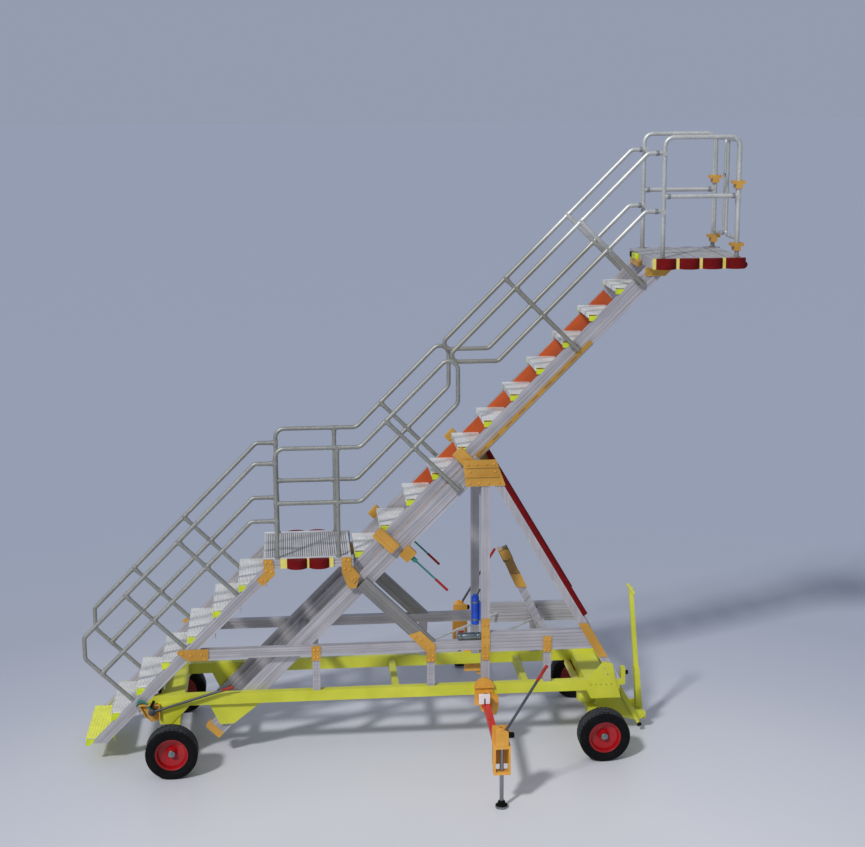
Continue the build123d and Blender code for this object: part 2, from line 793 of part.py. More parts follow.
def landing_handrail():
    y, base = -fixed_rail_y, landing_height
    x, x1, end = landing_post_x, landing_middle_post_x, landing_rail_end
    top, middle = base + landing_rail_top, base + landing_rail_middle
    middle_rise, top_rise = (slide_nose_rise + slide_rail_rise[k] + shift for k, shift in ((0, 5), (1, 10)))
    loop = rail([(x, base), (x, top), (top - top_rise, top), (end, end + top_rise), (end, end + middle_rise),
                 (middle - middle_rise, middle), (x, middle)], y, bend_radius)
    post = rail([(x1, base), (x1, top)], y, None)
    along = end - 66
    lug = slope_bar(centred(along, 50), (-150, -100), (y, -side_inner))
    fittings = tee((x, middle), y, 90, 0) + tee((x1, top), y, 0, 270) + crossing((x1, middle), y, 0)
    fittings += tee(on_slope(along, top_rise), y, 45, -45) + crossing(on_slope(along, middle_rise), y, 45)
    fittings += tee((x, base + lower_rail_top), y, 90, 180) + tee((x, base + lower_rail_middle), y, 90, 180)
    fittings += [flange(x, y, base), flange(x1, y, base)]
    return join([loop, post, post_across(along, -150, top_rise, y), lug] + fittings)


def sliding_handrail():
    return join(slope_rails() + platform_rails())


def slope_rails():
    y = -slide_rail_y
    middle_rise, top_rise = (slide_nose_rise + rise for rise in slide_rail_rise)
    post_face = guard_posts_x[0] - tube_radius
    middle_z, top_z = (platform_height + rise for rise in guard_joints)
    end_z = top_z - slide_rail_drop
    loop = rail([(post_face, top_z), (top_z - top_rise, top_z), (end_z - top_rise, end_z),
                 (end_z - middle_rise, end_z), (middle_z - middle_rise, middle_z), (post_face, middle_z)],
                y, small_bend)
    posts_along = [platform_start - back for back in slide_posts]
    posts = [post_across(along, 12, top_rise, y) for along in posts_along]
    lugs = [slope_bar(centred(along, 50), rise, (y, -slide_outer))
            for along in posts_along for rise in ((12, 50), (90, 130))]
    fittings = []
    for along in posts_along:
        fittings += tee(on_slope(along, top_rise), y, 45, -45) + crossing(on_slope(along, middle_rise), y, 45)
    return [loop] + posts + lugs + fittings


def platform_rails():
    y, base = -platform_rail_y, platform_height
    (x0, x1), top, middle = guard_posts_x, platform_height + guard_height, platform_height + guard_middle
    loop = rail([(x0, base), (x0, top), (x1, top), (x1, base)], y, bend_radius)
    bar = rail([(x0, middle), (x1, middle)], y, None)
    radius = tube_radius + sleeve_wall
    links = [cross_pin(x0, -(platform_rail_y + slide_rail_y) / 2, base + rise, radius,
                       platform_rail_y - slide_rail_y + 2 * radius) for rise in guard_joints]
    fittings = tee((x0, middle), y, 90, 0) + tee((x1, middle), y, 90, 180)
    return [loop, bar] + links + fittings + [flange(x0, y, base), flange(x1, y, base)]


def gate_clamps():
    # Each has a wide plate over a narrower boss, bored for the guardrail's post and the gate's stile.
    eye = gate_stile_radius + bore_clearance
    x, y0, y1 = guard_posts_x[1], -platform_rail_y - 30, eye + 12 - gate_hinge_y
    clamps = []
    for rise in clamp_rises:
        z = platform_height + rise
        low = z - clamp_plate - clamp_boss
        boss = block(centred(x, 60), (y0, y1), (low, z - clamp_plate))
        body = join([boss, block(centred(x, 115), (y0, y1), (z - clamp_plate, z))])
        body -= upright(x, -platform_rail_y, (low - plate, z + plate), tube_radius)
        body -= upright(x, -gate_hinge_y, (low - plate, z + plate), eye)
        clamps.append(body)
    return pair(join(clamps))


def gate_leaf():
    x, free = guard_posts_x[1], -gate_gap - gate_tube_radius
    z0, z1 = (platform_height + rise for rise in gate_rise)
    path = [(x, -gate_hinge_y, z0), (x, free, z0), (x, free, z1), (x, -gate_hinge_y, z1)]
    frame = tube(path, gate_tube_radius, 45)
    foot = platform_height + clamp_rises[0] - clamp_plate - clamp_boss - 5
    stile = upright(x, -gate_hinge_y, (foot, z1 + gate_stile_radius), gate_stile_radius)
    return join([frame, stile])


def outrigger_mounts():
    # A half-round cover on the beam over a board with two lugs and the pivot pin between them.
    back = (-side_outer - 12, -side_outer)
    x, cover_z = outrigger_x, beam_top - 30
    cover = cross_pin(x, -side_outer - 17, cover_z, 95, 34)
    cover -= block(centred(x, 200), (-side_outer - 40, -side_outer + 5), (cover_z - 100, cover_z))
    board = block(centred(x, 180), back, (pivot_z - 80, cover_z))
    lugs = [block(centred(x, 100), (-pivot_y - 45, -side_outer - 12), z_range)
            for z_range in ((pivot_z - 56, pivot_z - 42), (pivot_z + 42, pivot_z + 56))]
    noses = [upright(x, -pivot_y - 45, z_range, 50)
             for z_range in ((pivot_z - 56, pivot_z - 42), (pivot_z + 42, pivot_z + 56))]
    pin = upright(x, -pivot_y, (pivot_z - 66, pivot_z + 66), pin_radius)
    return pair(join([cover, board] + lugs + noses + [pin]))


def outrigger_arm():
    knuckle = upright(outrigger_x, -pivot_y, centred(pivot_z, 80), 38)
    end = -jack_y + 90
    half = arm_size / 2
    collar_z = pivot_z - arm_drop
    outline = Polygon((-pivot_y, pivot_z + half), (-pivot_y, pivot_z - half), (end, collar_z - half),
                      (end, collar_z + half), align=None)
    boom = Pos(outrigger_x - half, 0, 0) * extrude(Plane.YZ * outline, amount=arm_size, dir=(1, 0, 0))
    collar = block(centred(outrigger_x, arm_size + 24), (end, end + 70), centred(collar_z, arm_size + 30))
    arm = join([knuckle, boom, collar])
    return arm - upright(outrigger_x, -pivot_y, centred(pivot_z, 100), pin_radius + 0.5)


def jack_frame():
    x, y = outrigger_x, -jack_y
    (z0, z1), w = jack_z, jack_half_width
    shoulder = z0 + 270
    back = block((x - w, x + w), (y + 70, y + 90), (z0 + 60, z1))
    head = block((x - 55, x + 55), (y - 45, y + 70), (shoulder, z1))
    head = fillet(head.edges().filter_by(Axis.Y).sort_by(Axis.Z)[-2:], 30)
    base = block((x - w, x + w), (y - 40, y + 40), (z0, z0 + 25))
    cheeks = [block(span, (y - 40, y + 40), (z0 + 25, shoulder))
              for span in ((x - w, x - w + jack_wall), (x + w - jack_wall, x + w))]
    cap = block((x - w, x + w), (y - 40, y + 70), (shoulder - 30, shoulder))
    knob = Pos(x + 75, y, z1 - 60) * Rot(0, 90, 0) * Cylinder(24, 40)
    dx, dz = jack_lever
    lever = rail([(x + 30, z1 - 10), (x + dx, z1 + dz)], y - 30, None, lever_radius)
    frame = join([back, head, base, cap, lever, knob] + cheeks)
    return frame - upright(x, y, (z0 - 10, z1 + 10), screw_radius + 0.5)


def jack_screw():
    x, y = outrigger_x, -jack_y
    rod = upright(x, y, (20, jack_z[1] - 20), screw_radius)
    foot = upright(x, y, (0, 22), foot_radius)
    boss = Pos(x, y, 37) * Cone(screw_radius + 14, screw_radius + 2, 30)
    return join([rod, foot, boss])


def parking_brake():
    # A bracket on the rear end of the near beam, with a bent crank and a long lever on its boss.
    x, z, y = brake_x, brake_z, -side_outer
    bracket = side_plate(about((x, z), [(-125, 70), (75, 70), (75, -90), (-10, -110), (-60, -60)]),
                         (y - plate, y))
    edges = [[(-125, 70), (75, 70), (75, 56), (-125, 56)], [(-125, 70), (-60, -60), (-46, -54), (-111, 70)]]
    flanges = [side_plate(about((x, z), points), (y - 55, y - plate)) for points in edges]
    boss = cross_pin(x, y - 35, z, 34, 50)
    crank = rail([(x - 140, z + 60), (x - 115, z + 118), (x - 60, z + 90), (x, z)], y - 30, 25, 10)
    dx, dz = brake_lever
    lever = rail([(x, z), (x + dx, z + dz)], y - 45, None, lever_radius)
    return join([bracket, boss, crank, lever] + flanges)


os.makedirs("parts", exist_ok=True)

single = {
    "chassis_frame": chassis_frame(), "rear_axle": rear_axle(), "front_gussets": front_gussets(),
    "guide_beams": guide_beams(), "guide_braces": guide_braces(), "tower_frame": tower_frame(),
    "level_rails": level_rails(), "cheek_joints": cheek_joints(), "slide_clamps": slide_clamps(),
    "lock_levers": lock_levers(), "bumper_bars": bumper_bars(), "hand_pump": hand_pump(),
    "lift_strut": lift_strut(), "strut_collars": strut_collars(), "parking_brake": parking_brake(),
    "lower_stringers": lower_stringers(), "lower_treads": lower_treads(),
    "lower_tread_caps": lower_tread_caps(), "bottom_step": bottom_step(),
    "landing_frame": landing_frame(), "landing_deck": landing_deck(),
    "landing_bumpers": landing_bumpers(), "landing_spacers": landing_spacers(),
    "outrigger_mounts": outrigger_mounts(),
    "sliding_stringers": sliding_stringers(), "sliding_treads": sliding_treads(),
    "sliding_tread_caps": sliding_tread_caps(), "cheek_panels": cheek_panels(),
    "rack_strips": rack_strips(), "platform_frame": platform_frame(), "platform_deck": platform_deck(),
    "platform_bumpers": platform_bumpers(), "platform_spacers": platform_spacers(),
    "platform_brackets": platform_brackets(), "gate_clamps": gate_clamps(),
    "front_axle": front_axle(), "drawbar": drawbar(),
}
for name, shape in single.items():
    save(name, shape)

handed = {
    "fixed_handrail": fixed_handrail(), "landing_handrail": landing_handrail(),
    "sliding_handrail": sliding_handrail(),
    "gate_leaf": gate_leaf(), "outrigger_arm": outrigger_arm(), "jack_frame": jack_frame(),
    "jack_screw": jack_screw(),
}
for name, shape in handed.items():
    save(f"{name}_right", shape)
    save(f"{name}_left", mirror(shape, about=Plane.XZ))

for axle_name, x in (("rear", 0), ("front", wheelbase)):
    for side_name, side in (("right", -1), ("left", 1)):
        tyre, rim = wheel(x, side)
        save(f"{axle_name}_tyre_{side_name}", tyre)
        save(f"{axle_name}_rim_{side_name}", rim)
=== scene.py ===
import bpy
import bmesh
import json
from math import atan, atan2, pi, radians
from mathutils import Matrix, Vector


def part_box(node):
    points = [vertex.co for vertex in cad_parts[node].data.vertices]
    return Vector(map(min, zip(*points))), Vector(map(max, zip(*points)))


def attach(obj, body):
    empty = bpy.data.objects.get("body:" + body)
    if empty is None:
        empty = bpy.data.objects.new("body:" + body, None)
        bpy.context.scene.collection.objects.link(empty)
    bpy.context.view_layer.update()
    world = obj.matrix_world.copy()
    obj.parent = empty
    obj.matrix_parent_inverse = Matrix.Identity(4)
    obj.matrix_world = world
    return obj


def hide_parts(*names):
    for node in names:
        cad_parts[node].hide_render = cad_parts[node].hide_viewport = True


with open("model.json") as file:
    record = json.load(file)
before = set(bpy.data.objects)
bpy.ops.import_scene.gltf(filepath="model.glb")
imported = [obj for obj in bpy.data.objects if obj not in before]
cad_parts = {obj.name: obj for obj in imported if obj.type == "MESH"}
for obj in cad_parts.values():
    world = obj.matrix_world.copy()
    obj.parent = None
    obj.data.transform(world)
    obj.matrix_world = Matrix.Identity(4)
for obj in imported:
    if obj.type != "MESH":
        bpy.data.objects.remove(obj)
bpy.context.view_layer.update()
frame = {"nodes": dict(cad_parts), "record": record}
nodes = frame["nodes"]
lowAxle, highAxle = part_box("rear_axle")
axleX = (lowAxle.x + highAxle.x) / 2  # the rear axle, from which lengths along X are counted
sides = {"right": -1, "left": 1}
print("frame loaded:", len(nodes), "nodes")


def linearColor(hexText):
    channels = [int(hexText[i:i + 2], 16) / 255 for i in (1, 3, 5)]
    return [c / 12.92 if c <= 0.04045 else ((c + 0.055) / 1.055) ** 2.4 for c in channels] + [1]


def addNode(tree, kind, settings=None, inputs=None, links=None):
    node = tree.nodes.new(kind)
    for name, value in (settings or {}).items():
        setattr(node, name, value)
    for name, value in (inputs or {}).items():
        node.inputs[name].default_value = value
    for name, source in (links or {}).items():
        tree.links.new(source, node.inputs[name])
    return node


def newSurface(name, metallic, roughness, ior=None):
    material = bpy.data.materials.new(name)
    material.use_nodes = True
    tree = material.node_tree
    shader = tree.nodes["Principled BSDF"]
    shader.inputs["Metallic"].default_value = metallic
    shader.inputs["Roughness"].default_value = roughness
    if ior:
        shader.inputs["IOR"].default_value = ior
    return material, tree, shader


def noiseOf(tree, mm, detail, vector, distortion=0):
    # A noise whose patches are about this many millimetres across.
    inputs = {"Scale": 1000 / mm, "Detail": detail, "Distortion": distortion}
    return addNode(tree, "ShaderNodeTexNoise", {}, inputs, {"Vector": vector}).outputs["Fac"]


def toned(tree, factor, stops):
    ramp = addNode(tree, "ShaderNodeValToRGB", {}, {}, {"Fac": factor})
    marks = ramp.color_ramp.elements
    for extra in stops[2:]:
        marks.new(0.5)
    for mark, (position, hexText) in zip(marks, stops):
        mark.position = position
        mark.color = linearColor(hexText)
    return ramp.outputs["Color"]


def ranged(tree, value, low, high, start=0.3, end=0.7):
    inputs = {"From Min": start, "From Max": end, "To Min": low, "To Max": high}
    return addNode(tree, "ShaderNodeMapRange", {}, inputs, {"Value": value}).outputs["Result"]


def blended(tree, kind, factor, first, second):
    # The colour sockets of the Mix node are 6 and 7, and its colour result is 2.
    values = {7: linearColor(second)} if isinstance(second, str) else {}
    links = {0: factor, 6: first} if values else {0: factor, 6: first, 7: second}
    if isinstance(factor, float):
        values[0] = links.pop(0)
    settings = {"data_type": "RGBA", "blend_type": kind}
    return addNode(tree, "ShaderNodeMix", settings, values, links).outputs[2]


def bumped(tree, shader, height, strength, distance):
    bump = addNode(tree, "ShaderNodeBump", {}, {"Strength": strength, "Distance": distance},
                   {"Height": height})
    tree.links.new(bump.outputs["Normal"], shader.inputs["Normal"])


def paint(name, dark, light, roughness, chip, patch=380, speck=22, sheen=60, peel=4):
    # Sprayed enamel: patches of tone, a few rubbed specks of the coat below, and orange peel.
    # The four sizes are in millimetres, and the peel is coarser than the real one, to show.
    material, tree, shader = newSurface(name, 0, roughness, 1.5)
    place = addNode(tree, "ShaderNodeTexCoord").outputs["Object"]
    tone = toned(tree, noiseOf(tree, patch, 4, place), ((0.35, dark), (0.65, light)))
    rubbed = ranged(tree, noiseOf(tree, speck, 8, place, 1.5), 0, 0.5, 0.66, 0.8)
    tree.links.new(blended(tree, "MIX", rubbed, tone, chip), shader.inputs["Base Color"])
    gloss = ranged(tree, noiseOf(tree, sheen, 5, place), roughness - 0.06, roughness + 0.12)
    tree.links.new(gloss, shader.inputs["Roughness"])
    bumped(tree, shader, noiseOf(tree, peel, 2, place), 0.12, 0.0004)
    return material


def drawnMetal(name, dark, light, roughness, angle, metallic=1.0, line=2.5, reach=0.9,
               haze=240, litAbove=None):
    # Extruded or drawn metal: fine die lines along its length, which smear the highlight.
    # Line and haze are in millimetres, the reach of a line in metres.
    material, tree, shader = newSurface(name, metallic, roughness)
    place = addNode(tree, "ShaderNodeTexCoord").outputs["Object"]
    turn = {"Rotation": (0, -radians(angle), 0), "Scale": (reach, line / 1000, line / 1000)}
    along = addNode(tree, "ShaderNodeMapping", {"vector_type": "TEXTURE"}, turn,
                    {"Vector": place})
    lines = addNode(tree, "ShaderNodeTexNoise", {}, {"Scale": 1, "Detail": 3},
                    {"Vector": along.outputs["Vector"]}).outputs["Fac"]
    tone = toned(tree, lines, ((0.35, dark), (0.65, light)))
    dull = toned(tree, noiseOf(tree, haze, 5, place), ((0.3, "#C9CBCE"), (0.75, "#FFFFFF")))
    tone = blended(tree, "MULTIPLY", 0.5, tone, dull)
    if litAbove:
        # Below this height, in metres, painted shade darkens the metal, fading out over the last
        # 0.3 m.
        height = addNode(tree, "ShaderNodeSeparateXYZ", {}, {}, {"Vector": place}).outputs["Z"]
        shadeRamp = ranged(tree, height, 0, 1, litAbove - 0.3, litAbove)
        lowShade = toned(tree, shadeRamp, ((0, "#BCBAB2"), (1, "#FFFFFF")))
        tone = blended(tree, "MULTIPLY", 1.0, tone, lowShade)
    tree.links.new(tone, shader.inputs["Base Color"])
    gloss = ranged(tree, lines, roughness - 0.05, roughness + 0.08)
    tree.links.new(gloss, shader.inputs["Roughness"])
    bumped(tree, shader, lines, 0.05, 0.0003)
    return material


def ribbedMetal(name, dark, light, roughness, pitch, metallic=0.2, settled=120):
    # Extruded walkway aluminium: narrow grip ribs across it, painted shade in the grooves between
    # them, and settled dust in patches.
    # The pitch of the ribs and the patches of settled dust are in millimetres.
    material, tree, shader = newSurface(name, metallic, roughness)
    place = addNode(tree, "ShaderNodeTexCoord").outputs["Object"]
    # A sine band of the Wave texture is 2 pi / 20 long at scale 1.
    ribs = addNode(tree, "ShaderNodeTexWave", {"bands_direction": "X"},
                   {"Scale": 2 * pi / 20 / (pitch / 1000), "Distortion": 0}, {"Vector": place})
    dust = noiseOf(tree, settled, 6, place)
    # The dark end of this rib tone is painted shade in the grooves.
    groove = toned(tree, ribs.outputs["Fac"], ((0.15, dark), (0.5, light)))
    grime = toned(tree, dust, ((0.3, "#D4D3CF"), (0.7, "#FFFFFF")))
    tree.links.new(blended(tree, "MULTIPLY", 0.5, groove, grime), shader.inputs["Base Color"])
    gloss = ranged(tree, dust, roughness - 0.08, roughness + 0.12)
    tree.links.new(gloss, shader.inputs["Roughness"])
    bumped(tree, shader, ribs.outputs["Fac"], 0.25, 0.0012)
    return material


def rubber(name, dark, light, roughness, grain=6, settled=90, scuff=40):
    # Moulded rubber: matt, with a fine grain and pale dust that settles in patches.
    # The three sizes are in millimetres, and the grain is coarser than the real one, to show.
    material, tree, shader = newSurface(name, 0, roughness, 1.52)
    shader.inputs["Specular IOR Level"].default_value = 0.2
    place = addNode(tree, "ShaderNodeTexCoord").outputs["Object"]
    tone = toned(tree, noiseOf(tree, settled, 6, place, 0.6), ((0.4, dark), (0.72, light)))
    tree.links.new(tone, shader.inputs["Base Color"])
    gloss = ranged(tree, noiseOf(tree, scuff, 4, place), roughness - 0.08, roughness + 0.08)
    tree.links.new(gloss, shader.inputs["Roughness"])
    bumped(tree, shader, noiseOf(tree, grain, 3, place), 0.25, 0.0006)
    return material


# Bent tube is etched and anodised, so it carries an even satin mottle and no lines.
mottle = {"line": 12, "reach": 0.012}
surfaces = {
    "yellow_paint": paint("enamelYellow", "#BDBF2E", "#D0D23E", 0.36, "#8E8C4A"),
    "tread_metal": ribbedMetal("ribbedAluminium", "#D2D1CF", "#F4F3F0", 0.45, 12.5),
    "tube_metal": drawnMetal("satinTube", "#B9B9B4", "#CBCBC5", 0.42, 45, metallic=0.45, **mottle),
    "orange_joint": paint("orangeEnamel", "#B4842C", "#CE9C42", 0.42, "#7E6238"),
    "cheek_orange": paint("cheekEnamel", "#B84A18", "#CC5A22", 0.45, "#7A4630"),
    "gold_strip": drawnMetal("goldAnodised", "#D9A040", "#F0BC5C", 0.36, 45, metallic=0.7),
    "red_pad": rubber("redRubber", "#640003", "#760507", 0.85),
    "step_yellow": ribbedMetal("stepEnamel", "#E6E848", "#F8FA60", 0.45, 12.5, metallic=0),
    "red_rim": paint("rimEnamel", "#8C070C", "#A60B14", 0.32, "#5A2A28", 200),
    "tyre_rubber": rubber("tyreRubber", "#020203", "#0A0A0B", 0.85),
    "pump_blue": paint("pumpEnamel", "#0F3CA2", "#164ABC", 0.25, "#26344E", 120),
    "arm_red": paint("armEnamel", "#B41C0C", "#CC2814", 0.36, "#6A2C22", 160),
    "jack_orange": paint("jackEnamel", "#CC9030", "#E2A644", 0.38, "#80642E", 160),
    "screw_steel": drawnMetal("turnedSteel", "#8A8B90", "#A9AAAE", 0.34, 90),
    "lever_teal": paint("tealEnamel", "#256E63", "#2F8477", 0.34, "#1C3E3A", 120),
    "deck_metal": ribbedMetal("deckPlank", "#6C6B70", "#CFCECC", 0.5, 20),
    "lime_cap": paint("limeEnamel", "#B8C612", "#D2E01E", 0.34, "#7E8430", 120),
    "pale_yellow": paint("paleYellowEnamel", "#D9CC5E", "#E9DC78", 0.48, "#8C8450", 120),
}
section = {0: ("levelSection", "#B5B2B6", "#C8C4C7"),
           90: ("uprightSection", "#B5B2B6", "#C8C4C7"),
           45: ("risingSection", "#ADAAAE", "#CECACD"),
           # The falling sections, on the guide braces, are painted darker as shade.
           -45: ("shadedFallingSection", "#83817F", "#989693")}
# The die lines of the sections are drawn coarser than the real ones, so that they show.
profiles = {angle: drawnMetal(name, dark, light, 0.44, angle, metallic=0.4, line=15)
            for angle, (name, dark, light) in section.items()}
# Copies of the tube finish with painted light: a darker one as shade on the lower handrails, a
# lighter one on the sliding handrails.
shadedRailTube = drawnMetal("shadedRailTube", "#92928B", "#ACACA4", 0.46, 45, metallic=0.55, **mottle)
litGuardTube = drawnMetal("litGuardTube", "#C4C4BF", "#D8D8D2", 0.42, 45, metallic=0.4, litAbove=4.95,
                       **mottle)
angleOf = {"level_rails": 0, "landing_frame": 0, "platform_frame": 0, "tower_frame": 90,
           "guide_braces": -45}
slotOf = {part["node"]: part["material_slot"] for part in frame["record"]["subparts"]}
for name, node in nodes.items():
    node.data.materials.clear()
    finish = surfaces.get(slotOf[name]) or profiles[angleOf.get(name, 45)]
    if "handrail" in name:
        finish = litGuardTube if "sliding" in name else shadedRailTube  # the lower rails are painted darker, as shade
    node.data.materials.append(finish)

blackRubber = surfaces["tyre_rubber"]
treadDust = rubber("treadDust", "#303236", "#45474B", 0.9)
leverCoat = paint("leverCoat", "#35393E", "#43484E", 0.42, "#6A6A68", 120)
gripVinyl = rubber("gripVinyl", "#96231A", "#B43226", 0.5, 3)
zinc = drawnMetal("zincPlate", "#7F8C8C", "#A5B0AE", 0.3, 0)
chrome = drawnMetal("chromePlate", "#D4D6D8", "#F0F1F2", 0.12, 0)
clampSteel = drawnMetal("clampSteel", "#8E9092", "#A6A8AA", 0.4, 0, metallic=0.5)
brightTrim = drawnMetal("brightTrim", "#E2E2E0", "#F6F6F4", 0.36, 0, metallic=0.5)
umberCoat = paint("umberCoat", "#8A6420", "#9C7430", 0.4, "#5A4620", 120)
oliveCoat = paint("oliveCoat", "#5E4E10", "#6E5E1C", 0.4, "#403610", 120)
whiteCoat = paint("whiteCoat", "#DCD2D2", "#ECE4E4", 0.4, "#8A8684", 120)
print("materials made:", len(bpy.data.materials))


def objectMode():
    if bpy.context.object and bpy.context.object.mode == "EDIT":
        bpy.ops.object.mode_set(mode="OBJECT")


def begin(kind, name, place, turn=(0, 0, 0), scale=(1, 1, 1), **shape):
    # A new primitive at its place. All else is deselected, since the frame's nodes load selected.
    objectMode()
    bpy.ops.object.select_all(action="DESELECT")
    add = {"cube": bpy.ops.mesh.primitive_cube_add,
           "cylinder": bpy.ops.mesh.primitive_cylinder_add}[kind]
    add(location=place, rotation=turn, **shape)
    piece = bpy.context.object
    piece.name = name
    piece.scale = scale
    bpy.ops.object.transform_apply(location=True, rotation=True, scale=True)
    return piece


def block(name, place, size, turn=(0, 0, 0)):
    return begin("cube", name, place, turn, size, size=1)


def middleOf(part):
    points = [part.co] if hasattr(part, "co") else [vert.co for vert in part.verts]
    return sum(points, Vector()) / len(points)


def choose(piece, test, kind="faces"):
    # In edit mode, selects only the faces or edges that pass the test.
    if piece.mode != "EDIT":
        bpy.ops.object.mode_set(mode="EDIT")
    bpy.ops.mesh.select_mode(type="FACE" if kind == "faces" else "EDGE")
    bpy.ops.mesh.select_all(action="DESELECT")
    net = bmesh.from_edit_mesh(piece.data)
    for part in (net.faces if kind == "faces" else net.edges):
        part.select_set(bool(test(part)))
    net.select_flush_mode()
    bmesh.update_edit_mesh(piece.data)


def facing(x=0, y=0, z=0, both=False):
    # A test for the faces that look along this way, or along it and back.
    way = Vector((x, y, z))
    return lambda face: face.normal.dot(way) > 0.9 or both and face.normal.dot(way) < -0.9


def stepped(piece, test, *steps):
    # Each step gives the chosen faces a border, and raises or sinks what is inside it.
    choose(piece, test)
    for border, rise in steps:
        bpy.ops.mesh.inset(thickness=border, depth=rise)


def sliced(piece, point, normal):
    choose(piece, lambda face: True)
    bpy.ops.mesh.bisect(plane_co=point, plane_no=normal)


def facedOut(piece):
    choose(piece, lambda face: True)
    bpy.ops.mesh.normals_make_consistent(inside=False)
    return piece


def settle(piece, surface, body, bevel=0.0, segments=2):
    # Softens the edges, gives the finish and names the body that the piece moves with.
    objectMode()
    if bevel:
        soft = piece.modifiers.new("softEdge", "BEVEL")
        soft.width = bevel
        soft.segments = segments
        soft.limit_method = "ANGLE"
        bpy.ops.object.modifier_apply(modifier="softEdge")
    bpy.ops.object.shade_smooth_by_angle(angle=radians(35))
    piece.data.materials.append(surface)
    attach(piece, body)
    return piece


def twinOf(piece, name, move):
    # A moved copy with its own mesh.
    twin = piece.copy()
    twin.data = piece.data.copy()
    twin.name = name
    bpy.context.scene.collection.objects.link(twin)
    twin.data.transform(move)
    if move.determinant() < 0:
        twin.data.flip_normals()
    return twin


def copied(piece, name, move, body):
    twin = twinOf(piece, name, move)
    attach(twin, body)
    return twin


def fused(pieces, name):
    # Several shaped pieces made one object.
    objectMode()
    bpy.ops.object.select_all(action="DESELECT")
    for piece in pieces:
        piece.select_set(True)
    bpy.context.view_layer.objects.active = pieces[0]
    bpy.ops.object.join()
    pieces[0].name = name
    return pieces[0]


def rod(name, start, end, radius, count=24, dome=0.3):
    # A round bar between two points, its ends stepped in and domed.
    start, end = Vector(start), Vector(end)
    way = (end - start).normalized()
    turn = (end - start).to_track_quat("Z", "Y").to_euler()
    piece = begin("cylinder", name, (start + end) / 2, turn, vertices=count, radius=radius,
                  depth=(end - start).length)
    rise = radius * dome
    stepped(piece, facing(*way, both=True), (radius * 0.3, rise), (radius * 0.3, rise * 0.3))
    return piece


fingerGrip = {"rings": 7, "border": 0.0008, "groove": 0.0014}


def gripped(name, start, end, radius):
    # A rod whose middle is cut into finger rings, every second one drawn in.
    piece = rod(name, start, end, radius)
    start, end = Vector(start), Vector(end)
    way = (end - start).normalized()
    length = (end - start).length
    bands = fingerGrip["rings"] * 2 + 2
    for k in range(1, bands):
        sliced(piece, start + way * length * k / bands, way)

    def inRing(face):
        along = (middleOf(face) - start).dot(way) / length * bands
        return abs(face.normal.dot(way)) < 0.2 and 1 < along < bands - 1 and int(along) % 2

    stepped(piece, inRing, (fingerGrip["border"], -fingerGrip["groove"]))
    return piece


def plateFrom(name, corners, y, thickness):
    # A flat plate from its corners (x, z): a disc with that many corners, stretched to them.
    piece = begin("cylinder", name, (0, 0, 0), vertices=len(corners), radius=1, depth=thickness)
    net = bmesh.new()
    net.from_mesh(piece.data)
    top = max((face for face in net.faces if abs(face.normal.z) > 0.9),
              key=lambda face: face.calc_center_median().z)
    ring = [loop.vert for loop in top.loops]
    for point, (x, z) in zip(ring, corners):
        below = [edge.other_vert(point) for edge in point.link_edges
                 if edge.other_vert(point).co.z < 0][0]
        point.co = (x, y + thickness / 2, z)
        below.co = (x, y - thickness / 2, z)
    # The normals are still those of the disc here, so some plates end up facing inwards.
    bmesh.ops.recalc_face_normals(net, faces=net.faces)
    net.to_mesh(piece.data)
    net.free()
    return piece


def hexBolt(name, place, radius, height):
    # A hexagon head on a wider washer, standing out along -Y, with a stepped top.
    head = begin("cylinder", name, place, (radians(90), 0, 0), vertices=6, radius=radius,
                 depth=height)
    stepped(head, facing(y=-1), (radius * 0.14, radius * 0.08))
    stepped(head, facing(y=1), (-radius * 0.3, 0))
    bpy.ops.mesh.extrude_region_move(TRANSFORM_OT_translate={"value": (0, height * 0.25, 0)})
    return head


tyre = {"width": 0.170, "bore": 0.150, "shoulder": 0.011, "border": 0.0012,
        "bands": (-0.054, -0.018, 0.018, 0.054), "bandWidth": 0.007, "bandDepth": 0.005,
        "lugs": 72, "lugDepth": 0.006, "lugsFrom": 0.2,
        # The side walls swell below the shoulder, step in at the bead and open to the rim.
        "wallSteps": ((0.010, 0.0022), (0.024, 0.0012), (0.012, -0.0015), (0.004, -0.003)),
        "beadDepth": 0.002, "scuffed": 0.012}
wheels = {"rear": ("chassis", "rear_tyre_right"), "front": ("steering_axle", "front_tyre_right")}
low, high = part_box("rear_tyre_right")
wheelRadius = (high.z - low.z) / 2
wheelY = (low.y + high.y) / 2


def openedThrough(piece):
    # Deletes the chosen faces at both ends and joins the two edges that are left.
    bpy.ops.mesh.delete(type="FACE")
    choose(piece, lambda edge: edge.is_boundary, "edges")
    bpy.ops.mesh.bridge_edge_loops()
    return facedOut(piece)


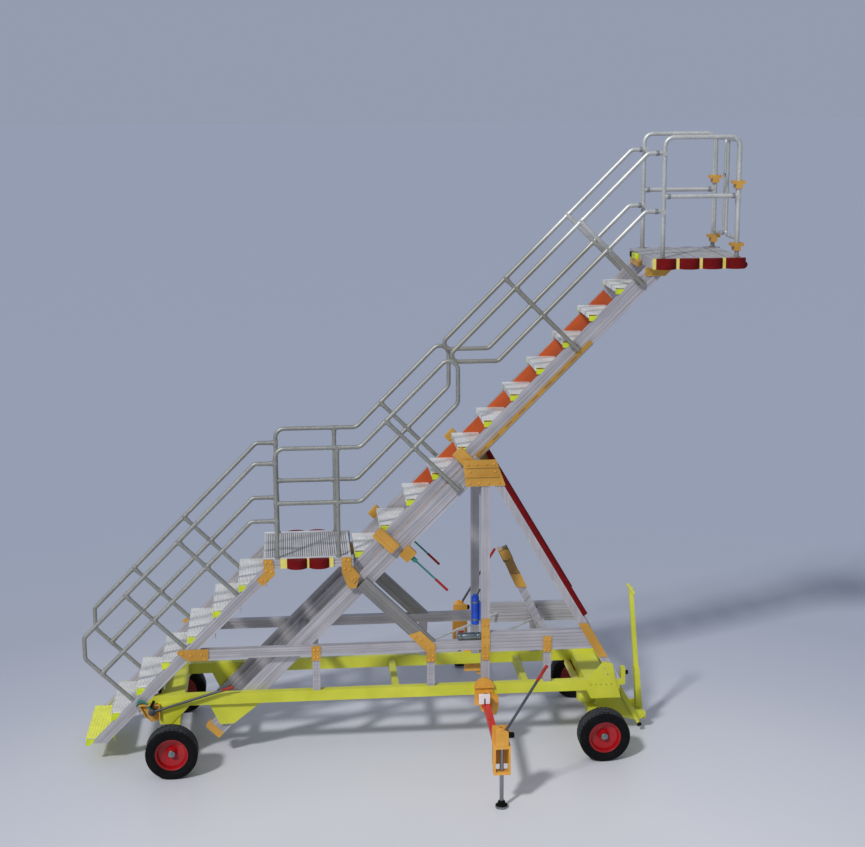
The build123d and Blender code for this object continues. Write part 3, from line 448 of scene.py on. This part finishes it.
def makeTyre(name):
    half = tyre["width"] / 2
    piece = begin("cylinder", name, (0, 0, 0), vertices=tyre["lugs"] * 2, radius=wheelRadius,
                  depth=tyre["width"])
    choose(piece, lambda edge: abs(abs(middleOf(edge).z) - half) < 1e-4, "edges")
    bpy.ops.mesh.bevel(offset=tyre["shoulder"], segments=3)
    for band in tyre["bands"]:
        for edge in (-1, 1):
            sliced(piece, (0, 0, band + edge * tyre["bandWidth"] / 2), (0, 0, 1))

    def isGroove(face):
        height = middleOf(face).z
        return abs(face.normal.z) < 0.1 and any(abs(height - band) < tyre["bandWidth"] / 2
                                                for band in tyre["bands"])

    def isLug(face):
        spot = middleOf(face)
        turn = int((atan2(-spot.y, spot.x) + pi) / (2 * pi) * tyre["lugs"])
        outer = tyre["bands"][-1] + tyre["bandWidth"] / 2
        return (abs(face.normal.z) < 0.1 and abs(spot.z) > outer and turn % 2
                and spot.xy.length > tyre["lugsFrom"])

    def isWall(face):
        return abs(face.normal.z) > 0.9 and len(face.verts) > 20  # the disc inside the steps

    stepped(piece, isGroove, (tyre["border"], -tyre["bandDepth"]))
    stepped(piece, isLug, (tyre["border"], -tyre["lugDepth"]))
    stepped(piece, isWall, *tyre["wallSteps"])
    radius = max(middleOf(edge).xy.length for edge in bmesh.from_edit_mesh(piece.data).edges
                 if edge.select)
    stepped(piece, isWall, (radius - tyre["bore"], -tyre["beadDepth"]))
    choose(piece, isWall)
    return openedThrough(piece)


def makeRing(name, outer, inner, depth, place=(0, 0, 0)):
    # A flat ring: both faces of a disc are inset, opened and joined through.
    piece = begin("cylinder", name, place, vertices=72, radius=outer, depth=depth)
    stepped(piece, facing(z=1, both=True), (outer - inner, 0))
    return openedThrough(piece)


rimLip = {"outer": 0.1590, "inner": 0.1445, "depth": 0.010, "out": 0.0755}
hubNut = {"radius": 0.0345, "depth": 0.0185, "out": 0.0545, "steps": ((0.004, 0.002), (0.012, 0)),
          "shaft": 0.007}


def makeHubNut(name):
    # A hexagon nut with the end of the shaft standing out of it.
    piece = begin("cylinder", name, (0, 0, 0), vertices=6, radius=hubNut["radius"],
                  depth=hubNut["depth"])
    stepped(piece, facing(z=1), *hubNut["steps"])
    bpy.ops.mesh.extrude_region_move(TRANSFORM_OT_translate={"value": (0, 0, hubNut["shaft"])})
    return piece


patternTyre = makeTyre("patternTyre")
settle(patternTyre, blackRubber, "rear_wheel_right")
patternTyre.data.materials.append(treadDust)  # the running surface is scuffed grey
scuffedFrom = wheelRadius - tyre["scuffed"]
for face in patternTyre.data.polygons:
    face.material_index = int(face.center.xy.length > scuffedFrom and abs(face.normal.z) < 0.6)
patternLip = makeRing("patternLip", rimLip["outer"], rimLip["inner"], rimLip["depth"])
settle(patternLip, surfaces["red_rim"], "rear_wheel_right", 0.003, 3)
patternNut = makeHubNut("patternNut")
settle(patternNut, zinc, "chassis", 0.0015)
for end, (carrier, node) in wheels.items():
    low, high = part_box(node)
    for word, side in sides.items():
        turned = Matrix.Rotation(radians(90 if side < 0 else -90), 4, "X")
        middle = Vector(((low.x + high.x) / 2, side * abs(wheelY), wheelRadius))
        place = Matrix.Translation(middle) @ turned
        body = f"{end}_wheel_{word}"
        ring = copied(patternTyre, f"{end}Tyre_{word}", place, body)
        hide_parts(f"{end}_tyre_{word}")
        outward = Matrix.Translation((0, side * rimLip["out"], 0)) @ place
        copied(patternLip, f"{end}RimLip_{word}", outward, body)
        onShaft = Matrix.Translation((0, side * hubNut["out"], 0)) @ place
        copied(patternNut, f"{end}HubNut_{word}", onShaft, carrier)
for pattern in (patternTyre, patternLip, patternNut):
    bpy.data.objects.remove(pattern)
print("wheels dressed")

levers = {"coatRadius": 0.0122, "gripRadius": 0.0145, "jackGrip": 0.15, "brakeGrip": 0.1,
          "coated": 0.9, "pastTip": 0.004}


def leverCover(name, start, end, body, gripLength):
    # A dark coat over the bare rod, up into the red grip over its end.
    start, end = Vector(start), Vector(end)
    way = (end - start).normalized()
    coat = rod(f"{name}Coat", start, end - way * gripLength * levers["coated"],
               levers["coatRadius"])
    settle(coat, leverCoat, body)
    sleeve = gripped(f"{name}Grip", end - way * gripLength, end + way * levers["pastTip"],
                     levers["gripRadius"])
    settle(sleeve, gripVinyl, body)


jack = {"x": 2.93, "y": 1.76, "leverY": 1.79, "leverFoot": (2.963, 0.730),
        "leverHead": (3.314, 1.309)}
armCollar = {"y": 1.635, "z": 0.43, "size": (0.0875, 0.074, 0.0935), "step": (0.006, 0.002)}
jackKnob = {"x": (2.982, 3.031), "z": 0.675, "radius": 0.0262}
jackCap = {"outer": 0.034, "inner": 0.0195, "depth": 0.016, "z": 0.741}
jackShoe = {"z": 0.0135, "radius": 0.0545, "depth": 0.026,
            "steps": ((0.012, 0.006), (0.018, 0.008))}
jackBoot = {"z": 0.045, "radius": 0.0335, "depth": 0.024, "step": (0.008, 0.009)}
pivotBoard = {"x": 2.906, "y": 0.6995, "z": 0.594, "size": (0.104, 0.010, 0.100),
              "step": (0.010, 0.002)}
boardKey = {"x": 2.909, "y": 0.704, "z": (0.548, 0.598), "radius": 0.0075}
stowBox = {"corners": ((2.973, 0.56), (3.055, 0.56), (3.055, 0.45), (3.030, 0.38), (2.973, 0.40)),
           "y": 0.53, "depth": 0.10, "step": (0.008, -0.003)}
pivotPin = {"y": 0.6, "z": (0.586, 0.602), "radius": 0.026}
for word, side in sides.items():
    body = f"outrigger_{word}"
    x, y = axleX + jack["x"], side * jack["y"]
    (x0, z0), (x1, z1) = jack["leverFoot"], jack["leverHead"]
    leverCover(f"jackLever_{word}", (axleX + x0, side * jack["leverY"], z0),
               (axleX + x1, side * jack["leverY"], z1), body, levers["jackGrip"])
    collar = block(f"armCollar_{word}", (x, side * armCollar["y"], armCollar["z"]),
                   armCollar["size"])
    stepped(collar, facing(y=side), armCollar["step"])
    settle(collar, whiteCoat, body, 0.003)
    x0, x1 = jackKnob["x"]
    knob = rod(f"jackKnob_{word}", (axleX + x0, y, jackKnob["z"]),
               (axleX + x1, y, jackKnob["z"]), jackKnob["radius"])
    settle(knob, blackRubber, body, 0.002)
    # The screw rises through the cap, so it is a ring.
    cap = makeRing(f"jackCap_{word}", jackCap["outer"], jackCap["inner"], jackCap["depth"],
                   (x, y, jackCap["z"]))
    settle(cap, surfaces["jack_orange"], body, 0.002)
    shoe = begin("cylinder", f"jackShoe_{word}", (x, y, jackShoe["z"]), vertices=48,
                 radius=jackShoe["radius"], depth=jackShoe["depth"])
    stepped(shoe, facing(z=1), *jackShoe["steps"])
    settle(shoe, blackRubber, f"screw_{word}", 0.002)
    gaiter = begin("cylinder", f"jackBoot_{word}", (x, y, jackBoot["z"]), vertices=32,
                   radius=jackBoot["radius"], depth=jackBoot["depth"])
    stepped(gaiter, facing(z=1), jackBoot["step"])
    settle(gaiter, blackRubber, f"screw_{word}", 0.002)
    board = block(f"pivotBoard_{word}",
                  (axleX + pivotBoard["x"], side * pivotBoard["y"], pivotBoard["z"]),
                  pivotBoard["size"])
    stepped(board, facing(y=side), pivotBoard["step"])
    settle(board, whiteCoat, "chassis", 0.002)
    keyX, keyY = axleX + boardKey["x"], side * boardKey["y"]
    z0, z1 = boardKey["z"]
    slit = rod(f"boardKey_{word}", (keyX, keyY, z0), (keyX, keyY, z1), boardKey["radius"], 20, 0.6)
    settle(slit, leverCoat, "chassis")
    box = plateFrom(f"stowBox_{word}", [(axleX + px, pz) for px, pz in stowBox["corners"]],
                    side * stowBox["y"], stowBox["depth"])
    stepped(box, facing(y=side), stowBox["step"])
    settle(box, surfaces["jack_orange"], "chassis", 0.003)
    z0, z1 = pivotPin["z"]
    pinHead = rod(f"pivotPin_{word}", (x, side * pivotPin["y"], z0),
                  (x, side * pivotPin["y"], z1), pivotPin["radius"], 32, 0.2)
    settle(pinHead, leverCoat, "chassis", 0.001)
print("outriggers dressed")

lock = {"start": (2.478, 1.692), "end": (2.588, 1.582), "y": 0.42, "radius": 0.0125}
for word, side in sides.items():
    (x0, z0), (x1, z1) = lock["start"], lock["end"]
    sleeve = gripped(f"lockGrip_{word}", (axleX + x0, side * lock["y"], z0),
                     (axleX + x1, side * lock["y"], z1), lock["radius"])
    settle(sleeve, gripVinyl, "chassis")

# Its corners, crank, lever and knob are counted from its pivot, along X and Z.
brake = {"x": -0.195, "z": 0.510, "plateY": -0.4605, "plateDepth": 0.010,
         "plate": ((-0.125, 0.07), (0.075, 0.07), (0.075, -0.09), (-0.01, -0.11), (-0.06, -0.06)),
         "flange": 0.012, "flangeReach": 0.042, "flangeAbove": -0.02,
         "bossY": (-0.466, -0.517), "bossRadius": 0.033, "crankY": -0.485, "crankRadius": 0.0108,
         "crank": ((-0.14, 0.06), (-0.115, 0.118), (-0.06, 0.09), (0.0, 0.0)),
         "leverY": -0.5, "lever": (0.755, 0.218),
         "knob": ((-0.004, 0.055), (0.022, 0.108)), "knobRadius": 0.014}
pivotX, pivotZ = axleX + brake["x"], brake["z"]
bracket = plateFrom("brakeBracket", [(pivotX + dx, pivotZ + dz) for dx, dz in brake["plate"]],
                    brake["plateY"], brake["plateDepth"])
stepped(bracket, facing(y=-1), (brake["flange"], 0))
flangeFrom = pivotZ + brake["flangeAbove"]
choose(bracket, lambda face: (face.normal.y < -0.9 and len(face.verts) == 4
                              and middleOf(face).z > flangeFrom))
bpy.ops.mesh.extrude_region_move(TRANSFORM_OT_translate={"value": (0, -brake["flangeReach"], 0)})
settle(bracket, surfaces["orange_joint"], "chassis", 0.002)
y0, y1 = brake["bossY"]
boss = rod("brakeBoss", (pivotX, y0, pivotZ), (pivotX, y1, pivotZ), brake["bossRadius"], 32, 0.15)
settle(boss, leverCoat, "chassis", 0.002)
corners = [(pivotX + dx, brake["crankY"], pivotZ + dz) for dx, dz in brake["crank"]]
links = [rod(f"crankLink{k}", corners[k], corners[k + 1], brake["crankRadius"], 20, 0.6)
         for k in range(len(corners) - 1)]
crank = fused(links, "brakeCrank")
settle(crank, surfaces["lever_teal"], "chassis")
dx, dz = brake["lever"]
leverCover("brakeLever", (pivotX, brake["leverY"], pivotZ),
           (pivotX + dx, brake["leverY"], pivotZ + dz), "chassis", levers["brakeGrip"])
(x0, z0), (x1, z1) = brake["knob"]
knob = rod("brakeKnob", (pivotX + x0, brake["leverY"], pivotZ + z0),
           (pivotX + x1, brake["leverY"], pivotZ + z1), brake["knobRadius"], 24, 0.4)
settle(knob, blackRubber, "chassis")
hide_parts("parking_brake")
print("brake and levers dressed")

# The sleeves on the leaning strut: start and end as rises above its base, and width.
strut = {"foot": 3.508, "base": 1.12, "lean": 0.47, "step": (0.014, -0.003),
         "sleeves": (("strutCollar", 0.475, 0.63, 0.088, umberCoat),
                     ("strutHead", 0.621, 0.7325, 0.0985, oliveCoat))}
for name, start, end, width, finish in strut["sleeves"]:
    rise = (start + end) / 2
    slant = (1 + strut["lean"] ** 2) ** 0.5
    sleeve = block(name, (axleX + strut["foot"] - strut["lean"] * rise, 0, strut["base"] + rise),
                   (width, width, (end - start) * slant), (0, -atan(strut["lean"]), 0))
    stepped(sleeve, facing(y=1, both=True), strut["step"])
    settle(sleeve, finish, "chassis", 0.003)

braces = {"radius": 0.011, "runs": (((2.41, -0.38, 1.065), (3.16, 0.38, 1.065)),
                                    ((3.0, -0.38, 1.085), (3.5, 0.13, 1.085)))}
for k, (start, end) in enumerate(braces["runs"]):
    stay = rod(f"planBrace{k + 1}", (axleX + start[0], *start[1:]), (axleX + end[0], *end[1:]),
               braces["radius"])
    settle(stay, brightTrim, "chassis")

belly = {"x": 3.872, "z": 0.523, "size": (0.05, 0.80, 0.045), "step": (0.009, -0.006)}
crossBar = block("bellyBar", (axleX + belly["x"], 0, belly["z"]), belly["size"])
stepped(crossBar, facing(x=1, both=True), belly["step"])
settle(crossBar, surfaces["pale_yellow"], "chassis", 0.002)

towWeb = {"corners": ((4.06, 0.43), (4.285, 0.425), (4.345, 0.40), (4.505, 0.115), (4.47, 0.11),
                      (4.06, 0.22)), "y": 0.176, "depth": 0.012, "step": (0.014, -0.003)}
towStay = {"start": (4.315, 0.408), "end": (4.487, 0.088), "y": 0.198, "size": (0.032, 0.034),
           "step": (0.007, -0.002)}
towShoe = {"past": (0.006, -0.010), "size": (0.036, 0.037, 0.039), "step": (0.004, 0.003)}
for word, side in sides.items():
    web = plateFrom(f"towWeb_{word}", [(axleX + x, z) for x, z in towWeb["corners"]],
                    side * towWeb["y"], towWeb["depth"])
    stepped(web, facing(y=side), towWeb["step"])
    settle(web, surfaces["yellow_paint"], "steering_axle", 0.0015)
    (x0, z0), (x1, z1) = towStay["start"], towStay["end"]
    slope = (0, -atan2(z1 - z0, x1 - x0), 0)
    stayY = side * towStay["y"]
    stay = block(f"towStay_{word}", (axleX + (x0 + x1) / 2, stayY, (z0 + z1) / 2),
                 (Vector((x1 - x0, z1 - z0)).length, *towStay["size"]), slope)
    stepped(stay, facing(y=1, both=True), towStay["step"])
    settle(stay, surfaces["yellow_paint"], "steering_axle", 0.003)
    dx, dz = towShoe["past"]
    foot = block(f"towShoe_{word}", (axleX + x1 + dx, stayY, z1 + dz), towShoe["size"], slope)
    stepped(foot, lambda face: face.normal.z < -0.3, towShoe["step"])
    settle(foot, blackRubber, "steering_axle", 0.004)

hanger = {"corners": ((-0.142, 0.59), (0.177, 0.59), (0.177, 0.573), (0.099, 0.487),
                      (0.022, 0.42), (-0.017, 0.372), (-0.128, 0.372), (-0.142, 0.50)),
          "y": 0.4595, "depth": 0.008, "step": (0.012, -0.002)}
for word, side in sides.items():
    apron = plateFrom(f"rearHanger_{word}", [(axleX + x, z) for x, z in hanger["corners"]],
                      side * hanger["y"], hanger["depth"])
    stepped(apron, facing(y=side), hanger["step"])
    settle(apron, surfaces["yellow_paint"], "chassis", 0.001)

valve = {"x": (4.290, 4.318), "y": -0.42, "z": 0.702, "radius": 0.021}
x0, x1 = valve["x"]
valveKnob = rod("valveKnob", (axleX + x0, valve["y"], valve["z"]),
                (axleX + x1, valve["y"], valve["z"]), valve["radius"], 28)
settle(valveKnob, blackRubber, "chassis", 0.002)
print("chassis dressed")

pumpBarrel = {"x": (2.690, 2.900), "y": -0.42, "z": 1.121, "radius": 0.0345,
              "groove": (0.03, 0.045), "grooveStep": (0.002, -0.004)}
pumpSpout = {"start": (2.878, 1.505), "end": (2.904, 1.56), "y": -0.355, "radius": 0.009}
pumpStrap = {"x": 2.858, "y": -0.355, "z": 1.44, "drop": 0.17, "outer": 0.0405, "inner": 0.0375,
             "depth": 0.016}
x0, x1 = (axleX + x for x in pumpBarrel["x"])
barrel = rod("pumpBarrel", (x0, pumpBarrel["y"], pumpBarrel["z"]),
             (x1, pumpBarrel["y"], pumpBarrel["z"]), pumpBarrel["radius"], 32, 0.2)
# A groove is turned into it a little way in from each end.
near, far = pumpBarrel["groove"]
for x in (x0 + near, x0 + far, x1 - far, x1 - near):
    sliced(barrel, (x, 0, 0), (1, 0, 0))


def inGroove(face):
    inward = min(middleOf(face).x - x0, x1 - middleOf(face).x)
    return abs(face.normal.x) < 0.2 and near < inward < far


stepped(barrel, inGroove, pumpBarrel["grooveStep"])
settle(barrel, zinc, "chassis", 0.001)
(x0, z0), (x1, z1) = pumpSpout["start"], pumpSpout["end"]
spout = rod("pumpSpout", (axleX + x0, pumpSpout["y"], z0), (axleX + x1, pumpSpout["y"], z1),
            pumpSpout["radius"], 20)
settle(spout, leverCoat, "chassis")
strap = makeRing("pumpStrap", pumpStrap["outer"], pumpStrap["inner"], pumpStrap["depth"],
                 (axleX + pumpStrap["x"], pumpStrap["y"], pumpStrap["z"]))
settle(strap, zinc, "chassis", 0.001)
copied(strap, "pumpStrapLow", Matrix.Translation((0, 0, -pumpStrap["drop"])), "chassis")
print("pump dressed")

# Bolts sit on the outer faces of the joint plates: x from the rear axle, and z.
bolts = {"radius": 0.0105, "height": 0.007, "face": 0.4650, "spots": (
    (0.10, 1.06), (0.18, 1.04), (0.28, 1.05), (0.31, 1.0), (1.328, 1.055), (1.362, 1.055),
    (1.328, 0.98), (1.362, 0.98), (2.275, 1.15), (2.33, 1.12), (2.41, 1.03), (2.445, 0.955),
    (2.41, 0.91), (2.445, 0.91), (2.925, 0.93), (2.965, 0.93), (2.925, 1.03), (2.965, 1.03),
    (2.925, 1.13), (2.965, 1.13), (2.925, 1.24), (2.965, 1.24), (3.515, 0.975), (3.555, 0.975),
    (3.515, 1.07), (3.555, 1.07), (2.78, 2.80), (2.86, 2.80), (2.95, 2.80), (3.02, 2.80),
    (2.79, 2.62), (2.88, 2.62), (2.97, 2.62), (3.07, 2.62), (2.80, 2.73), (3.03, 2.73),
    (0.90, 1.92), (0.945, 1.92), (0.90, 1.84), (0.95, 1.83), (0.86, 1.75), (0.90, 1.75),
    (1.625, 1.92), (1.665, 1.92), (1.625, 1.84), (1.67, 1.83), (1.72, 1.75), (1.695, 1.735))}
x0, z0 = bolts["spots"][0]
first = hexBolt("plateBolt", (axleX + x0, -bolts["face"] - bolts["height"] / 2, z0),
                bolts["radius"], bolts["height"])
objectMode()
heads = [first] + [twinOf(first, "plateBolt", Matrix.Translation((x - x0, 0, z - z0)))
                   for x, z in bolts["spots"][1:]]
row = fused(heads, "plateBolts_right")
settle(row, surfaces["jack_orange"], "chassis")  # painted over with the plates
copied(row, "plateBolts_left", Matrix.Scale(-1, 4, (0, 1, 0)), "chassis")

nosing = {"insets": (0.012, 0.013), "width": 0.024, "depth": 0.006, "rise": 0.001,
          "step": (0.004, 0.0015)}
sideTrim = {"y": 0.440, "width": 0.028, "depth": 0.005, "rise": 0.0015, "step": (0.004, 0.001)}
low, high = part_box("landing_deck")
rearInset, frontInset = nosing["insets"]
trims = []
for k, x in enumerate((low.x + rearInset, high.x - frontInset)):
    strip = block(f"deckNose{k}", (x, 0, high.z + nosing["rise"]),
                  (nosing["width"], high.y - low.y, nosing["depth"]))
    stepped(strip, facing(z=1), nosing["step"])
    trims.append(strip)
noses = fused(trims, "deckNoses")
settle(noses, brightTrim, "chassis", 0.001)
edges = []
for word, side in sides.items():
    strip = block(f"deckEdge_{word}",
                  ((low.x + high.x) / 2, side * sideTrim["y"], high.z + sideTrim["rise"]),
                  (high.x - low.x, sideTrim["width"], sideTrim["depth"]))
    stepped(strip, facing(z=1), sideTrim["step"])
    edges.append(strip)
sideTrims = fused(edges, "deckSideTrims")
settle(sideTrims, brightTrim, "chassis", 0.001)
print("deck dressed")

# The parts below the rear edge of the platform: y and z from and to, and depth.
sill = {"face": 4.447, "step": (0.010, -0.003),
        "parts": (("orange", "orange_joint", -0.08, 0.29, 4.555, 4.612, 0.030),
                  ("lime", "lime_cap", 0.04, 0.20, 4.612, 4.664, 0.036),
                  ("dark", "tyre_rubber", 0.23, 0.32, 4.612, 4.660, 0.030))}
for part, slotName, y0, y1, z0, z1, depth in sill["parts"]:
    bar = block(f"rearSill_{part}",
                (axleX + sill["face"] - depth / 2, (y0 + y1) / 2, (z0 + z1) / 2),
                (depth, y1 - y0, z1 - z0))
    stepped(bar, facing(x=-1), sill["step"])
    settle(bar, surfaces[slotName], "sliding_flight", 0.003)

gusset = {"corners": ((4.43, 4.583), (4.70, 4.583), (4.615, 4.500), (4.43, 4.500)), "y": 0.340,
          "depth": 0.010, "step": (0.012, -0.002)}
for word, side in sides.items():
    sheet = plateFrom(f"platformGusset_{word}", [(axleX + x, z) for x, z in gusset["corners"]],
                      side * gusset["y"], gusset["depth"])
    stepped(sheet, facing(y=side), gusset["step"])
    settle(sheet, surfaces["gold_strip"], "sliding_flight", 0.001)
    if side < 0:
        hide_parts("platform_brackets")

# Collars on the platform's rails: the middle of each, for the left side.
railCollar = {"radius": 0.0248, "half": 0.013,
              "spots": ((4.609, 0.432, 5.230), (5.204, 0.432, 5.230),
                        (4.514, 0.358, 5.090), (4.514, 0.358, 5.613))}
for word, side in sides.items():
    half = railCollar["half"]
    rings = [rod("railCollar", (axleX + x - half, side * y, z), (axleX + x + half, side * y, z),
                 railCollar["radius"], 28, 0.1) for x, y, z in railCollar["spots"]]
    band = fused(rings, f"railCollars_{word}")
    settle(band, clampSteel, "sliding_flight", 0.001)

gateElbow = {"x": 5.250, "y": (0.088, 0.160), "z": 4.8425, "radius": 0.0182}
gateLatch = {"x": (5.238, 5.280), "y": 0.040, "z": 5.395, "radius": 0.028}
for word, side in sides.items():
    x, z = axleX + gateElbow["x"], gateElbow["z"]
    y0, y1 = gateElbow["y"]
    elbow = rod(f"gateElbow_{word}", (x, side * y0, z), (x, side * y1, z), gateElbow["radius"],
                24, 0.1)
    settle(elbow, chrome, f"gate_{word}", 0.001)
x0, x1 = gateLatch["x"]
latch = rod("gateLatch", (axleX + x0, gateLatch["y"], gateLatch["z"]),
            (axleX + x1, gateLatch["y"], gateLatch["z"]), gateLatch["radius"], 32, 0.2)
settle(latch, chrome, "gate_left", 0.002)
print("platform dressed")

stage = {"skyHex": "#C2C8D6", "backHex": "#949DB0", "sunStrength": 2.3, "fillStrength": 0.72,
         "poolMiddle": (0, -4.5, 0), "poolSpan": (1.5, 12.5),
         "floorTones": ((0.14, "#D6D6D9"), (0.34, "#C6C7CE"), (0.47, "#B4B7C1"),
                        (0.64, "#A4A9B5"), (1.0, "#9FA6B6")),
         "floorSize": 400, "floorZ": -0.0005, "sunAngle": 6, "sunTurn": (48, -38)}

bpy.ops.object.select_all(action="DESELECT")
bpy.ops.mesh.primitive_plane_add(size=stage["floorSize"], location=(0, 0, stage["floorZ"]))
floor = bpy.context.object
floor.name = "studioFloor"
floorSurface, tree, shader = newSurface("paleFloor", 0, 0.35, 1.4)
# The pale floor falls off softly all round from a pool of light before the stairs.
place = addNode(tree, "ShaderNodeTexCoord").outputs["Object"]
away = addNode(tree, "ShaderNodeVectorMath", {"operation": "DISTANCE"},
               {1: stage["poolMiddle"]}, {0: place}).outputs["Value"]
sweep = toned(tree, ranged(tree, away, 0, 1, *stage["poolSpan"]), stage["floorTones"])
tree.links.new(sweep, shader.inputs["Base Color"])
floor.data.materials.append(floorSurface)

world = bpy.data.worlds.new("studioWorld")
bpy.context.scene.world = world
world.use_nodes = True
tree = world.node_tree
light = tree.nodes["Background"]
light.inputs["Color"].default_value = linearColor(stage["skyHex"])
light.inputs["Strength"].default_value = stage["fillStrength"]
back = addNode(tree, "ShaderNodeBackground", {},
               {"Color": linearColor(stage["backHex"]), "Strength": 1})
ray = addNode(tree, "ShaderNodeLightPath")
seen = addNode(tree, "ShaderNodeMath", {"operation": "MAXIMUM"}, {},
               {0: ray.outputs["Is Camera Ray"], 1: ray.outputs["Is Glossy Ray"]})
choice = addNode(tree, "ShaderNodeMixShader", {}, {},
                 {0: seen.outputs[0], 1: light.outputs[0], 2: back.outputs[0]})
tree.links.new(choice.outputs[0], tree.nodes["World Output"].inputs["Surface"])

sun = bpy.data.objects.new("keySun", bpy.data.lights.new("keySun", "SUN"))
sun.data.energy = stage["sunStrength"]
sun.data.angle = radians(stage["sunAngle"])
tilt, heading = stage["sunTurn"]
sun.rotation_euler = (radians(tilt), 0, radians(heading))
bpy.context.scene.collection.objects.link(sun)

view = {"place": (-1.1003, -15.0923, 6.3395), "yaw": 5.044, "pitch": 12.087, "roll": -0.326,
        "lens": 68.3, "sensor": 36}
camera = bpy.data.objects.new("camera", bpy.data.cameras.new("camera"))
camera.data.lens = view["lens"]
camera.data.sensor_fit = "HORIZONTAL"
camera.data.sensor_width = view["sensor"]
turn = (Matrix.Rotation(radians(-view["yaw"]), 4, "Z")
        @ Matrix.Rotation(radians(90 - view["pitch"]), 4, "X")
        @ Matrix.Rotation(radians(view["roll"]), 4, "Z"))
camera.matrix_world = Matrix.Translation(view["place"]) @ turn
bpy.context.scene.collection.objects.link(camera)
bpy.context.scene.camera = camera
bpy.context.scene.view_settings.view_transform = "Standard"
print("stage set")
